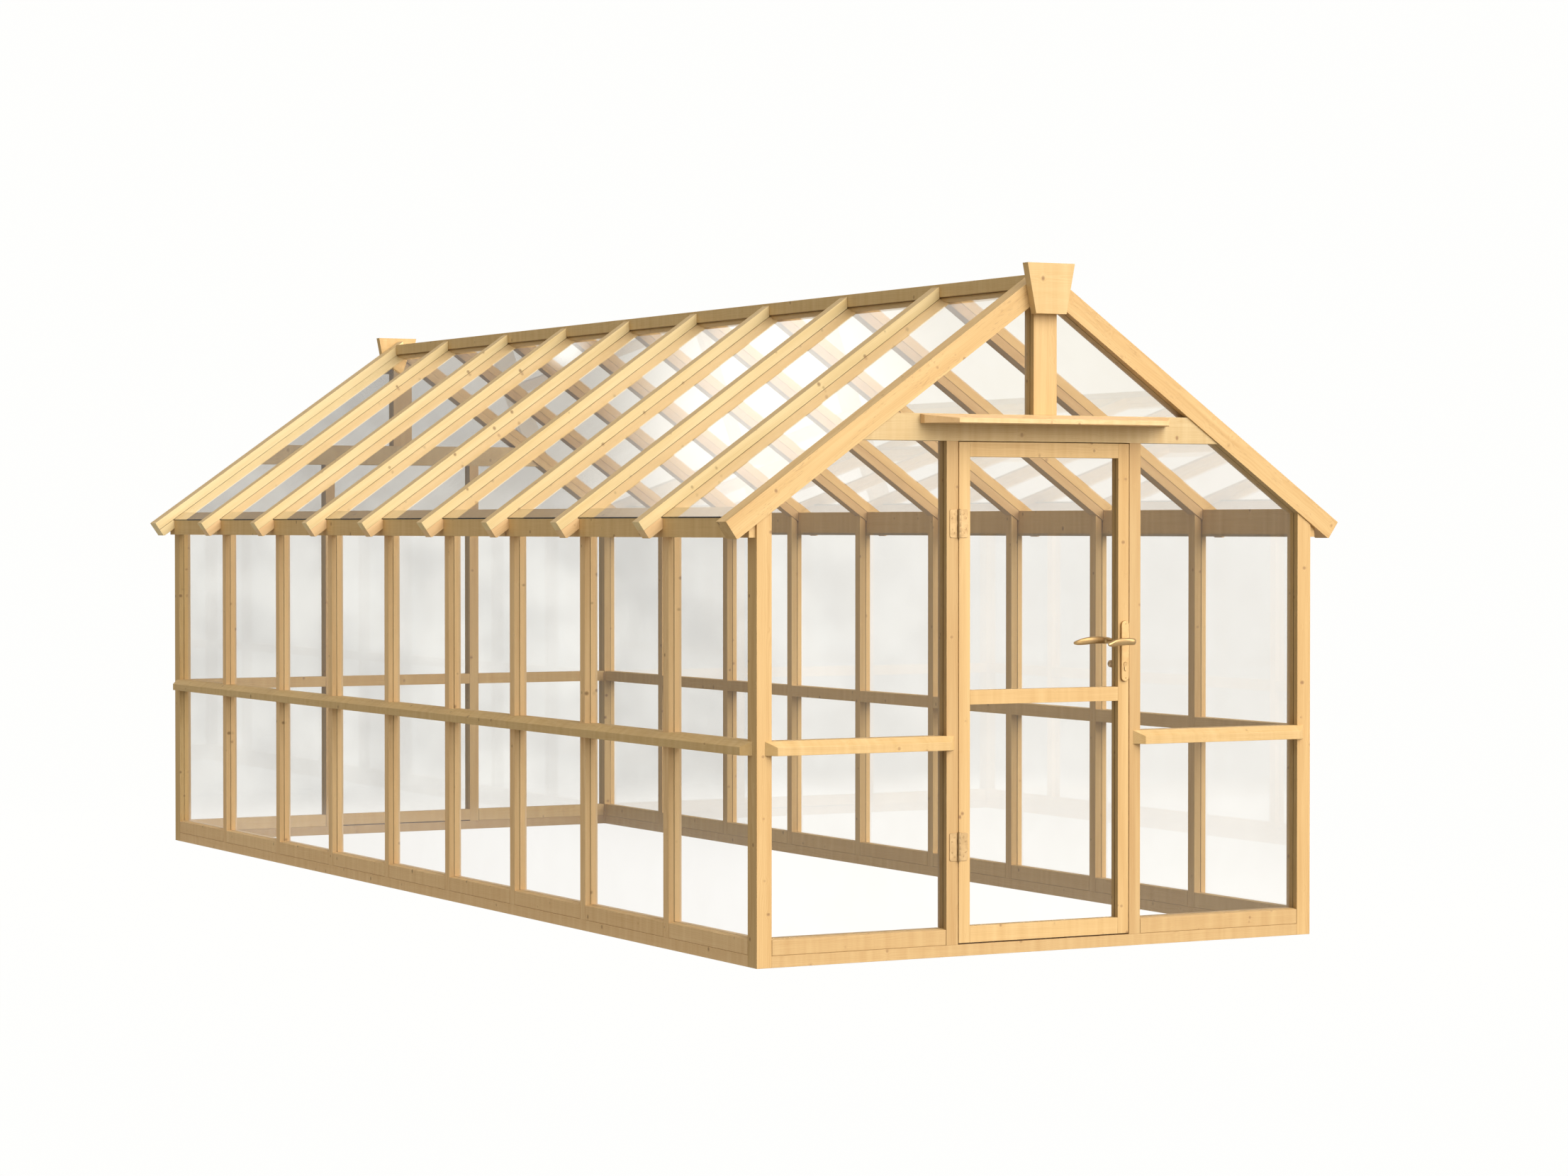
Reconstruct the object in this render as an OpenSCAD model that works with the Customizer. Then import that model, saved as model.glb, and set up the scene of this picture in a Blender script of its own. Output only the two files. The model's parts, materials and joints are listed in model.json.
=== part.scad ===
// Glazed wooden greenhouse with a gabled roof and one hinged door.
// X runs across the gable, Y along the ridge (the door end faces -Y), Z up.
// Z is 0 at the underside of the ground sills.

/* [House] */
// Outside width over the side walls
house_w = 2390; // [2000:10:2600]
// First and last bay, from corner post centre to post centre
end_bay = 680; // [560:5:760]
// Second and second last bay
wide_bay = 718; // [560:1:760]
// The bays between
mid_bay = 660; // [560:5:760]
// Underside of the wall plates
plate_z = 1517; // [1300:1:1700]
// Slope of the roof in degrees
roof_pitch = 35.1; // [30:0.1:40]

/* [Wall timber] */
// Height of the ground sills
sill_h = 42; // [30:1:60]
// Height of the kick boards above the sills
kick_h = 60; // [40:1:110]
// Width of the side wall posts
post_w = 45; // [38:1:60]
// Depth of the side wall posts behind the glass line
post_d = 34; // [28:1:50]
// Depth of the capping battens on the side walls
batten_d = 22; // [16:1:30]
// Width of a corner post on the gable
corner_w = 60; // [50:1:80]
// Depth of a corner post along the side wall
corner_d = 69; // [66:1:90]
// Depth of the gable walls behind the glass line
gable_d = 40; // [34:1:50]
// Depth of the facings on the gable posts
facing_d = 24; // [18:1:30]
// Height of the middle rails
rail_h = 51; // [40:1:70]
// Underside of the middle rails
rail_z = 749; // [500:1:900]
// How far the sloped outer rails stand out
rail_out = 34; // [20:1:45]

/* [Roof timber] */
// Width of a middle rafter and of its capping
rafter_w = 55; // [50:1:70]
// Depth of a rafter below the roof glass
rafter_d = 39; // [34:0.5:60]
// Depth of a rafter capping above the roof glass
cap_d = 38.5; // [25:0.5:45]
// Thickness of the gable rafters along the house
gable_rafter_w = 79; // [60:1:100]
// How far the rafters reach out past the side walls
eave_out = 125; // [80:1:160]
// Width of the ridge board
ridge_w = 84; // [60:1:110]
// Height of the ridge board
ridge_h = 49; // [40:1:70]
// Height of the gable cross beams
beam_h = 98; // [70:1:120]
// Underside of the gable cross beams
beam_z = 1866; // [1750:1:1900]
// Width of the king posts
king_w = 100; // [60:1:130]
// Thickness of the keystone boards
key_t = 36; // [18:1:40]
// How far the hood board stands out over the door
hood_out = 140; // [80:1:160]
// Width of the hood board against the wall
hood_w = 1058; // [900:2:1200]
// Width of the hood board at its front edge
hood_front_w = 896; // [760:2:1100]
// Width of a keystone board at its top
key_top_w = 204; // [140:2:240]
// Width of a keystone board at its foot
key_foot_w = 132; // [90:2:180]
// Height of a keystone board
key_h = 185; // [140:1:220]

/* [Door] */
// Clear width between the door posts
door_open_w = 740; // [640:1:860]
// Width of a door post
door_post_w = 49; // [40:1:60]
// Thickness of the door
door_t = 45; // [40:1:50]
// Gap round the sides and the top of the door
door_gap = 3; // [2:0.5:5]
// Width of the door stiles
stile_w = 47; // [44:1:60]
// Height of the door's top rail
top_rail_h = 54; // [40:1:80]
// Underside of the door's middle rail
mid_rail_z = 911; // [800:1:960]
// Height of the door's middle rail
mid_rail_h = 52; // [40:1:80]
// Height of the door's bottom rail
bottom_rail_h = 60; // [50:1:120]

/* [Glass] */
// Thickness of every pane
glass_t = 4; // [3:1:4]
// How far a pane reaches into the wood at each edge
glass_in = 6.5; // [5:0.5:7]

/* [Ironmongery] */
// Height of a hinge
hinge_h = 102; // [76:1:120]
// Height of the top hinge's centre
hinge_top_z = 1567; // [1300:1:1700]
// Height of the bottom hinge's centre
hinge_low_z = 397; // [250:1:500]
// Length of the handle plates
plate_l = 225; // [190:1:240]
// Height of the lever's pivot
lever_z = 1131; // [1080:1:1160]
// Length of a lever from its pivot
lever_l = 133; // [115:1:140]

/* [Hidden] */
$fn = 48;
fit = 0.3;
rebate = 8;
bed = glass_t + fit;
joint = 1.5;
plumb_gap = 0.25;
run_gap = 0.05;
seat_gap = 0.05;
// how far the outer rails' top falls outwards, how far their mitred ends
// stay in from the corners, and how far they lap over the door posts
rail_fall = 21;
rail_end_in = 32;
rail_lap = 17;
// depth of the glass line in the door
door_pane_v = 20;
// the side panes' top edge over the wall plates' underside
pane_up = 10;
tanp = tan(roof_pitch);
cosp = cos(roof_pitch);
sinp = sin(roof_pitch);
hw = house_w / 2;
// longer than any cut needs to be
far = 1.5 * house_w;
post_at = [
    for (i = [0:7])
    corner_d / 2 + end_bay + (i == 0 ? 0 : wide_bay)
    + max(0, i - 1) * mid_bay + (i == 7 ? wide_bay - mid_bay : 0)
];
house_l = corner_d + 2 * end_bay + 2 * wide_bay + 5 * mid_bay;
// gable rafters stand out over the gable by this much
gable_over = 6;
key_out = key_t + gable_over;
yf = -house_l / 2 + (hood_out - key_out) / 2;
yb = yf + house_l;
// inner face of the gable rafters
gable_in = gable_rafter_w - gable_over;
// edges of the nine bays, measured from the door end
bay_lo = [for (i = [0:8]) i == 0 ? corner_d : post_at[i - 1] + post_w / 2];
bay_hi = [for (i = [0:8]) i == 8 ? house_l - corner_d : post_at[i] - post_w / 2];
wall_d = batten_d + post_d;
gable_wall_d = facing_d + gable_d;
kick_top = sill_h + kick_h;
rail_top = rail_z + rail_h;
beam_top = beam_z + beam_h;
hood_h = 34;
// the hood board's back sits this far under the cross beam's top
hood_top = beam_top - 2;
// the rafters' top over the wall plates' underside, at the walls' outside
heel_h = 144;
top0 = plate_z + heel_h;
// heights over the distance u in from the outside of a side wall
function zt(u) = top0 + u * tanp;
function zs(u) = zt(u) - cap_d / cosp;
function zu(u) = zs(u) - rafter_d / cosp;
function at_zu(z) = (z - zu(0)) / tanp;
// what a timber under a rafter is cut to
function zp(u) = zu(u) - seat_gap;
// top of the keystone boards, a little over the rafters
key_top = zt(hw) + 17;
tail = [-eave_out, zt(-eave_out)];
dn = [sinp, -cosp];
// a rafter's foot is cut level this far above its lowest corner
foot_cut = 3;
tail_cut = tail[1] - (cap_d + rafter_d) * cosp + foot_cut;
cut_u = tail[0] + (cap_d + rafter_d) * sinp;
ridge_u = hw - ridge_w / 2;
ridge_z = zs(ridge_u) + 6.5;
// the roof panes end here, just under the ridge board
glass_hi = ridge_u + 7;
strip_h = 20;
strip_w = 50;
plate_out = 26;
plate_back = 10;
// the roof panes run from this far outside the walls
glass_lo = plate_out + 5;
door_half = door_open_w / 2;
door_w = door_open_w - 2 * door_gap;
door_lo = sill_h + 5;
door_hi = beam_z - door_gap;
door_x = door_w / 2;
stop_w = 5;
hinge_x = -door_half + 1.5;
hinge_v = -6.3;
knuckle_r = 6;
pin_r = 3;
leaf_t = 2.5;
lock_x = door_x - 20;
plate_w = 34;
plate_t = 9;
plate_drop = 36;
plate_c = lever_z - plate_drop;
// the plate screws sit this far in from the plate's top and foot
screw_top_in = 10.5;
screw_foot_in = 13.5;
screw_hi = plate_c + plate_l / 2 - screw_top_in;
screw_lo = plate_c - plate_l / 2 + screw_foot_in;
cyl_drop = 86;
cyl_z = lever_z - cyl_drop;
neck_r = 9;
// the thumb turn: a stem, a flare, the knob and its rounded-off end
turn_stem_l = 18;
turn_flare = 4;
turn_knob_l = 14;
turn_end = 3;
turn_r = 14;
// the lever's outlines are drawn for a lever this long
outline_l = 133;
// heads of the plate screws, sunk this far under the plate's face
head_r = 4;
head_t = 2.1;
head_in = 0.4;
head_seat = head_in + head_t;
// round shafts of all the screws, and the hinge screws' length
shank_r = 2;
bore_r = 2.1;
wood_screw_l = 26;
// the lock's face plate stands out round its case by these
face_t = 3;
face_over_z = 14;
face_over_v = 4;
// the strike plate and its seat in the door post
strike_t = 2;
strike_over_z = 6;
strike_v = [12.5, 32.5];
case_lo = cyl_z - 33;
case_hi = lever_z + 49;
case_x = door_x - 36;
case_v = [15.5, 29.5];
latch_z = lever_z + 20;
bolt_z = cyl_z + 33;
bolt_v = [17.5, 27.5];

pine = [0.93, 0.76, 0.5];
pine_side = [0.88, 0.7, 0.45];
pine_light = [0.96, 0.82, 0.58];
clear = [0.85, 0.9, 0.9, 0.35];
brassy = [0.82, 0.66, 0.4];
steel = [0.7, 0.7, 0.72];

// placing
module front() translate([0, yf, 0]) children();
module back() translate([0, yb, 0]) mirror([0, 1, 0]) children();
module left() translate([-hw, 0, 0]) children();
module right() mirror([1, 0, 0]) translate([-hw, 0, 0]) children();
module both_ends() { front() children(); back() children(); }
module both_sides() { left() children(); right() children(); }

// a section in x and z, drawn from depth a to depth b
module along_y(a, b) {
    translate([0, b, 0]) rotate([90, 0, 0]) linear_extrude(b - a) children();
}

// a section in y and z, drawn from x a to x b
module along_x(a, b) {
    translate([a, 0, 0]) rotate([90, 0, 90]) linear_extrude(b - a) children();
}

module block(a, b) translate(a) cube(b - a);

// base
module side_sill() {
    block([0, corner_d, 0], [wall_d, house_l - corner_d, sill_h]);
}
module side_sills() {
    color(pine_side) front() both_sides() side_sill();
}
module gable_sills() {
    color(pine) both_ends()
        block([-hw + corner_w, 0, 0], [hw - corner_w, gable_wall_d, sill_h]);
}

// posts
module corner_post() {
    difference() {
        along_y(0, corner_d)
            polygon([[0, 0], [corner_w, 0], [corner_w, zp(corner_w)], [0, zp(0)]]);
        // glass grooves towards the side wall and towards the gable
        block([batten_d, corner_d - rebate, kick_top - rebate],
              [batten_d + bed, corner_d + 1, plate_z + pane_up + 2]);
        block([corner_w - rebate, facing_d, kick_top - rebate],
              [corner_w + 1, facing_d + bed, far]);
        // seat for the wall plate
        block([-1, plate_back, plate_z], [batten_d, corner_d + 1, far]);
    }
}
module corner_posts() {
    color(pine) {
        front() both_sides() corner_post();
        back() both_sides() corner_post();
    }
}
module side_post(c) {
    difference() {
        along_y(c - post_w / 2, c + post_w / 2)
            polygon([[batten_d, sill_h], [wall_d, sill_h],
                     [wall_d, zp(wall_d)], [batten_d, zp(batten_d)]]);
        for (s = [-1, 1])
            translate([batten_d - 1, c + s * (post_w / 2 - rebate / 2 + 0.5), 0])
                block([0, -rebate / 2 - 0.5, sill_h - 1],
                      [bed + 1, rebate / 2 + 0.5, far]);
    }
}
module left_posts() {
    color(pine) front() left() for (c = post_at) side_post(c);
}
module right_posts() {
    color(pine) front() right() for (c = post_at) side_post(c);
}
module side_batten(c) {
    block([0, c - post_w / 2, sill_h], [batten_d, c + post_w / 2, plate_z]);
}
module left_battens() {
    color(pine_side) front() left() for (c = post_at) side_batten(c);
}
module right_battens() {
    color(pine_side) front() right() for (c = post_at) side_batten(c);
}

// kick boards: the top falls outwards and holds the pane in a groove
module kick_section(d, g, lift = 0) {
    polygon([
        [2, sill_h + lift], [d - 2, sill_h + lift], [d, sill_h + lift + 2],
        [d, kick_top], [g + bed, kick_top], [g + bed, kick_top - rebate],
        [g, kick_top - rebate], [g, kick_top], [0, kick_top - 4],
        [0, sill_h + lift + 2]
    ]);
}
module side_kick_boards() {
    color(pine_side) front() both_sides()
        for (i = [0:8])
            along_y(bay_lo[i] + joint, bay_hi[i] - joint)
                kick_section(wall_d, batten_d);
}
module gable_side_kick() {
    along_x(-hw + corner_w + joint, -door_half - door_post_w - joint)
        kick_section(gable_wall_d, facing_d);
}
module front_kick_boards() {
    color(pine) front() {
        gable_side_kick();
        mirror([1, 0, 0]) gable_side_kick();
    }
}
module back_kick_boards() {
    color(pine) back() {
        gable_side_kick();
        mirror([1, 0, 0]) gable_side_kick();
        along_x(-door_half, door_half) kick_section(gable_wall_d, facing_d, 4);
    }
}

// middle rails between the posts, with a groove for the pane above and below
module transom_section(d, g) {
    polygon([
        [0, rail_z], [g, rail_z], [g, rail_z + rebate],
        [g + bed, rail_z + rebate], [g + bed, rail_z], [d, rail_z],
        [d, rail_top], [g + bed, rail_top], [g + bed, rail_top - rebate],
        [g, rail_top - rebate], [g, rail_top], [0, rail_top]
    ]);
}
module side_transoms() {
    color(pine_side) front() both_sides()
        for (i = [0:8])
            along_y(bay_lo[i] + 0.5, bay_hi[i] - 0.5)
                transom_section(wall_d, batten_d);
}
module gable_side_transom() {
    along_x(-hw + corner_w + 0.5, -door_half - door_post_w - 0.5)
        transom_section(gable_wall_d, facing_d);
}
module gable_transoms() {
    color(pine) {
        both_ends() {
            gable_side_transom();
            mirror([1, 0, 0]) gable_side_transom();
        }
        back() along_x(-door_half + 0.5, door_half - 0.5)
            transom_section(gable_wall_d, facing_d);
    }
}

// outer rails: a sloped top sheds the rain, ends cut at 45 degrees
module rail_section() {
    polygon([[-rail_out, rail_z], [0, rail_z], [0, rail_top],
             [-rail_out, rail_top - rail_fall]]);
}
module side_rail(a, b, cut_a, cut_b) {
    intersection() {
        along_y(a, b) rail_section();
        linear_extrude(far)
            polygon([[0, a], [0, b], [-rail_out, b - (cut_b ? rail_out : 0)],
                     [-rail_out, a + (cut_a ? rail_out : 0)]]);
    }
}
module side_rails() {
    color(pine_side) front() both_sides() {
        side_rail(rail_end_in, post_at[5] - 1, true, false);
        side_rail(post_at[5] + 1, house_l - rail_end_in, false, true);
    }
}
module gable_rail(a, b) {
    intersection() {
        along_x(a, b) rail_section();
        linear_extrude(far)
            polygon([[a, 0], [b, 0], [b - rail_out, -rail_out],
                     [a + rail_out, -rail_out]]);
    }
}
module front_rails() {
    color(pine_light) front() {
        gable_rail(-hw + rail_end_in, -door_half - rail_lap);
        gable_rail(door_half + rail_lap, hw - rail_end_in);
    }
}
module back_rail() {
    color(pine_light) back() gable_rail(-hw + rail_end_in, hw - rail_end_in);
}

// wall plates, notched for the rafters
module wall_plate() {
    difference() {
        along_y(plate_back, house_l - plate_back)
            polygon([[-plate_out, plate_z], [batten_d, plate_z],
                     [batten_d, zs(batten_d) - bed / cosp - seat_gap],
                     [-plate_out, zs(-plate_out) - bed / cosp - seat_gap]]);
        for (c = post_at)
            along_y(c - rafter_w / 2, c + rafter_w / 2) rafter_notch();
        along_y(0, gable_in) rafter_notch();
        along_y(house_l - gable_in, house_l) rafter_notch();
    }
}
module rafter_notch() {
    a = -2 * plate_out;
    b = 2 * batten_d;
    polygon([[a, zp(a)], [b, zp(b)], [b, zt(b)], [a, zt(a)]]);
}
module wall_plates() {
    color(pine_side) front() both_sides() wall_plate();
}

// rafters under the glass line, meeting under the ridge board
module rafter_section() {
    polygon([
        tail + cap_d * dn,
        [tail[0] + (cap_d + rafter_d) * sinp - foot_cut * tanp, tail_cut],
        [cut_u + (tail_cut - zu(cut_u)) / tanp, tail_cut],
        [hw, zu(hw)], [hw, ridge_z],
        [(ridge_z - zs(0)) / tanp, ridge_z]
    ]);
}
module rafter_rebate() {
    a = -2 * eave_out;
    polygon([[a, zs(a) - bed / cosp - seat_gap],
             [hw, zs(hw) - bed / cosp - seat_gap],
             [hw, zt(hw)], [a, zt(a)]]);
}
module rafter(c) {
    difference() {
        along_y(c - rafter_w / 2, c + rafter_w / 2) rafter_section();
        intersection() {
            union() {
                along_y(c - rafter_w / 2 - 1, c - rafter_w / 2 + rebate)
                    rafter_rebate();
                along_y(c + rafter_w / 2 - rebate, c + rafter_w / 2 + 1)
                    rafter_rebate();
            }
            block([-glass_lo - 1, 0, 0], [glass_hi + 1, house_l, far]);
        }
    }
}
module left_rafters() {
    color(pine_light) front() left() for (c = post_at) rafter(c);
}
module right_rafters() {
    color(pine_light) front() right() for (c = post_at) rafter(c);
}
module capping(c) {
    along_y(c - rafter_w / 2, c + rafter_w / 2)
        polygon([tail, tail + (cap_d - seat_gap) * dn,
                 [ridge_u, zs(ridge_u) + seat_gap / cosp],
                 [ridge_u, zt(ridge_u)]]);
}
module left_cappings() {
    color(pine_light) front() left() for (c = post_at) capping(c);
}
module right_cappings() {
    color(pine_light) front() right() for (c = post_at) capping(c);
}

// full-depth rafters over the gables, grooved for the gable and roof panes
module gable_rafter() {
    difference() {
        along_y(-gable_over, gable_in)
            polygon([
                tail,
                [cut_u - foot_cut * tanp, tail_cut],
                [cut_u + (tail_cut - zu(cut_u)) / tanp, tail_cut],
                [hw - plumb_gap, zu(hw - plumb_gap)],
                [hw - plumb_gap, zt(hw - plumb_gap)]
            ]);
        along_y(facing_d, facing_d + bed)
            polygon([[0, zu(0) - 1], [hw + 1, zu(hw + 1) - 1],
                     [hw + 1, zu(hw + 1) + rebate / cosp],
                     [0, zu(0) + rebate / cosp]]);
        along_y(gable_in - rebate, gable_in + 1) {
            a = -glass_lo - 1;
            b = glass_hi + 1;
            c = tail[0] - 1;
            polygon([[a, zs(a) - bed / cosp - seat_gap],
                     [b, zs(b) - bed / cosp - seat_gap], [b, zs(b)], [a, zs(a)]]);
            // the seam goes on down to the tail
            polygon([[c, zs(c) - joint], [a + 1, zs(a + 1) - joint],
                     [a + 1, zs(a + 1)], [c, zs(c)]]);
        }
    }
}
module gable_rafters() {
    color(pine_light) both_ends() both_sides() gable_rafter();
}
module ridge_board() {
    color(pine_side) front()
        block([-ridge_w / 2, gable_in, ridge_z],
              [ridge_w / 2, house_l - gable_in, ridge_z + ridge_h]);
}
module ridge_strips() {
    lo = [for (i = [0:8]) i == 0 ? gable_in : post_at[i - 1] + rafter_w / 2];
    hi = [for (i = [0:8])
        i == 8 ? house_l - gable_in : post_at[i] - rafter_w / 2];
    color(pine_side) front() for (i = [0:8])
        block([-strip_w / 2, lo[i], ridge_z - strip_h],
              [strip_w / 2, hi[i], ridge_z]);
}

// gable cross beams, cut to the slope under the gable rafters
module cross_beam() {
    a = at_zu(beam_z);
    b = at_zu(beam_top);
    difference() {
        along_y(0, gable_wall_d)
            polygon([[-hw + a + seat_gap, beam_z], [hw - a - seat_gap, beam_z],
                     [hw - b - seat_gap, beam_top],
                     [-hw + b + seat_gap, beam_top]]);
        block([-hw, facing_d, beam_z - 1],
              [-door_half, facing_d + bed, beam_z + rebate]);
        block([door_half, facing_d, beam_z - 1],
              [hw, facing_d + bed, beam_z + rebate]);
        block([-hw, facing_d, beam_top - rebate],
              [-king_w / 2 + rebate, facing_d + bed, beam_top + 1]);
        block([king_w / 2 - rebate, facing_d, beam_top - rebate],
              [hw, facing_d + bed, beam_top + 1]);
    }
}
module cross_beams() {
    color(pine) {
        front() cross_beam();
        back() difference() {
            cross_beam();
            block([-door_half - 1, facing_d, beam_z - 1],
                  [door_half + 1, facing_d + bed, beam_z + rebate]);
        }
    }
}
module king_section() {
    polygon([[-king_w / 2, beam_top], [king_w / 2, beam_top],
             [king_w / 2, zp(hw - king_w / 2)], [0, zp(hw)],
             [-king_w / 2, zp(hw - king_w / 2)]]);
}
module king_posts() {
    color(pine) both_ends() difference() {
        along_y(facing_d, gable_wall_d) king_section();
        for (s = [-1, 1])
            translate([s * (king_w / 2 - rebate / 2 + 0.5), facing_d - 1, 0])
                block([-rebate / 2 - 0.5, 0, beam_top - 1],
                      [rebate / 2 + 0.5, bed + 1, far]);
    }
}
module king_facings() {
    color(pine_light) both_ends() along_y(0, facing_d) king_section();
}
module keystone_boards() {
    color(pine_light) both_ends()
        along_y(-key_out, -gable_over)
            polygon([[-key_foot_w / 2, key_top - key_h],
                     [key_foot_w / 2, key_top - key_h],
                     [key_top_w / 2, key_top], [-key_top_w / 2, key_top]]);
}

// posts beside the door and at the same places in the back gable
module gable_post(both) {
    difference() {
        block([door_half, facing_d, sill_h],
              [door_half + door_post_w, gable_wall_d, beam_z]);
        block([door_half + door_post_w - rebate, facing_d - 1, sill_h - 1],
              [door_half + door_post_w + 1, facing_d + bed, beam_z + 1]);
        if (both)
            block([door_half - 1, facing_d - 1, sill_h - 1],
                  [door_half + rebate, facing_d + bed, beam_z + 1]);
    }
}
module gable_post_facing() {
    block([door_half, 0, sill_h], [door_half + door_post_w, facing_d, beam_z]);
}
module keep_pocket() {
    // seat for the strike plate and pockets for the dead bolt and the latch
    block([door_half - 1, strike_v[0], case_lo - strike_over_z],
          [door_half + strike_t, strike_v[1], case_hi + strike_over_z]);
    block([door_half - 1, bolt_v[0] - 1, bolt_z - 13],
          [door_half + 16, bolt_v[1] + 1, bolt_z + 13]);
    block([door_half - 1, bolt_v[0] - 1, latch_z - 8],
          [door_half + 12, bolt_v[1] + 1, latch_z + 8]);
}
module door_posts() {
    color(pine) front() {
        difference() {
            gable_post(false);
            keep_pocket();
        }
        mirror([1, 0, 0]) gable_post(false);
    }
}
module door_post_facings() {
    color(pine_light) front() {
        difference() {
            gable_post_facing();
            keep_pocket();
        }
        difference() {
            mirror([1, 0, 0]) gable_post_facing();
            frame_screw_holes();
        }
    }
}
module back_posts() {
    color(pine) back() {
        gable_post(true);
        mirror([1, 0, 0]) gable_post(true);
    }
}
module back_post_facings() {
    color(pine_light) back() {
        gable_post_facing();
        mirror([1, 0, 0]) gable_post_facing();
    }
}

// hood board over the door: flat underside, top falling outwards
module hood_board() {
    color(pine_light) front() intersection() {
        linear_extrude(far)
            polygon([[-hood_w / 2, 0], [hood_w / 2, 0],
                     [hood_w / 2, -hood_out / 5], [hood_front_w / 2, -hood_out],
                     [-hood_front_w / 2, -hood_out], [-hood_w / 2, -hood_out / 5]]);
        along_x(-hood_w, hood_w)
            polygon([[0, hood_top - hood_h], [0, hood_top],
                     [-hood_out, hood_top - hood_h / 2],
                     [-hood_out, hood_top - hood_h]]);
    }
}
module door_stops() {
    color(pine) front() {
        for (s = [-1, 1])
            translate([s * (door_half - stop_w / 2), 0, 0])
                block([-stop_w / 2, door_t + 1, sill_h],
                      [stop_w / 2, gable_wall_d, beam_z - 12.5]);
        block([-door_half, door_t + 1, beam_z - 12],
              [door_half, gable_wall_d, beam_z]);
    }
}

// panes
module roof_pane(a, b) {
    along_y(a, b)
        polygon([
            [-glass_lo, zs(-glass_lo) - fit / cosp],
            [glass_hi, zs(glass_hi) - fit / cosp],
            [glass_hi, zs(glass_hi) - bed / cosp],
            [-glass_lo, zs(-glass_lo) - bed / cosp]
        ]);
}
module roof_glass() {
    color(clear) front() both_sides() for (i = [0:8])
        roof_pane(
            i == 0 ? gable_in - glass_in
                   : post_at[i - 1] + rafter_w / 2 - glass_in,
            i == 8 ? house_l - gable_in + glass_in
                   : post_at[i] - rafter_w / 2 + glass_in
        );
}
module side_pane(i, z0, z1) {
    block([batten_d + fit, bay_lo[i] - glass_in, z0],
          [batten_d + bed, bay_hi[i] + glass_in, z1]);
}
module side_glass() {
    color(clear) front() both_sides() for (i = [0:8]) {
        side_pane(i, kick_top - rebate, rail_z + glass_in);
        side_pane(i, rail_top - rebate, plate_z + pane_up);
    }
}
function line_in(u) = zu(u) + glass_in / cosp;
function at_line_in(z) = (z - line_in(0)) / tanp;
module gable_pane() {
    along_y(facing_d + fit, facing_d + bed) children();
}
module gable_glass() {
    a = -hw + corner_w - glass_in;
    b = -door_half - door_post_w + glass_in;
    t = beam_z + glass_in;
    k = -king_w / 2 + glass_in;
    gable_pane() polygon([[a, kick_top - rebate], [b, kick_top - rebate],
                          [b, rail_z + glass_in], [a, rail_z + glass_in]]);
    gable_pane() polygon([[a, rail_top - rebate], [b, rail_top - rebate],
                          [b, t], [-hw + at_line_in(t), t], [a, line_in(a + hw)]]);
    gable_pane() polygon([
        [-hw + at_line_in(beam_top - rebate), beam_top - rebate],
        [k, beam_top - rebate], [k, line_in(k + hw)]
    ]);
}
module front_glass() {
    color(clear) front() {
        gable_glass();
        mirror([1, 0, 0]) gable_glass();
    }
}
module back_glass() {
    w = door_half + glass_in;
    color(clear) back() {
        gable_glass();
        mirror([1, 0, 0]) gable_glass();
        block([-w, facing_d + fit, kick_top - rebate],
              [w, facing_d + bed, rail_z + glass_in]);
        block([-w, facing_d + fit, rail_top - rebate],
              [w, facing_d + bed, beam_z + glass_in]);
    }
}

// door frame
module stile(x0) {
    groove_in = x0 < 0 ? x0 + stile_w - rebate : x0 - 1;
    difference() {
        block([x0, 0, door_lo], [x0 + stile_w, door_t, door_hi]);
        block([groove_in, door_pane_v, door_lo - 1],
              [groove_in + rebate + 1, door_pane_v + bed, door_hi + 1]);
    }
}
module door_stiles() {
    color(pine) front() {
        difference() {
            stile(-door_x);
            door_screw_holes();
        }
        difference() {
            stile(door_x - stile_w);
            // mortise for the lock and its face plate
            block([case_x, case_v[0], case_lo], [door_x + 1, case_v[1], case_hi]);
            block([door_x - face_t, case_v[0] - face_over_v, case_lo - face_over_z],
                  [door_x + 1, case_v[1] + face_over_v, case_hi + face_over_z]);
            lock_bores(0.4);
        }
    }
}
module lock_bores(c) {
    translate([lock_x, -1, lever_z]) rotate([-90, 0, 0])
        cylinder(h = door_t + 2, r = 7);
    for (z = [screw_lo, screw_hi])
        translate([lock_x, -1, z]) rotate([-90, 0, 0])
            cylinder(h = door_t + 2, r = bore_r);
    translate([lock_x, 0, cyl_z]) along_y(-1, door_t + 1) euro_profile(c);
}
module euro_profile(c) {
    circle(r = 8.5 + c);
    translate([-5 - c, -18 - c]) square([10 + 2 * c, 18]);
    translate([0, -18]) circle(r = 5 + c);
}
module rail(z0, z1, lo, hi) {
    x = door_x - stile_w;
    difference() {
        union() {
            block([-x, 0, z0], [x, door_t, z1]);
            block([-x - rebate + 0.5, door_pane_v + fit, z0 + 10],
                  [x + rebate - 0.5, door_pane_v + bed - fit, z1 - 10]);
        }
        if (lo) block([-x, door_pane_v, z0 - 1],
                      [x, door_pane_v + bed, z0 + rebate]);
        if (hi) block([-x, door_pane_v, z1 - rebate],
                      [x, door_pane_v + bed, z1 + 1]);
    }
}
module door_rails() {
    color(pine) front() {
        rail(door_lo, door_lo + bottom_rail_h, false, true);
        rail(mid_rail_z, mid_rail_z + mid_rail_h, true, true);
        rail(door_hi - top_rail_h, door_hi, true, false);
    }
}
module door_glass() {
    x = door_x - stile_w + glass_in;
    low = door_lo + bottom_rail_h - rebate;
    color(clear) front() {
        block([-x, door_pane_v + fit, low],
              [x, door_pane_v + bed, mid_rail_z + glass_in]);
        block([-x, door_pane_v + fit, mid_rail_z + mid_rail_h - rebate],
              [x, door_pane_v + bed, door_hi - top_rail_h + glass_in]);
    }
}

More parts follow.
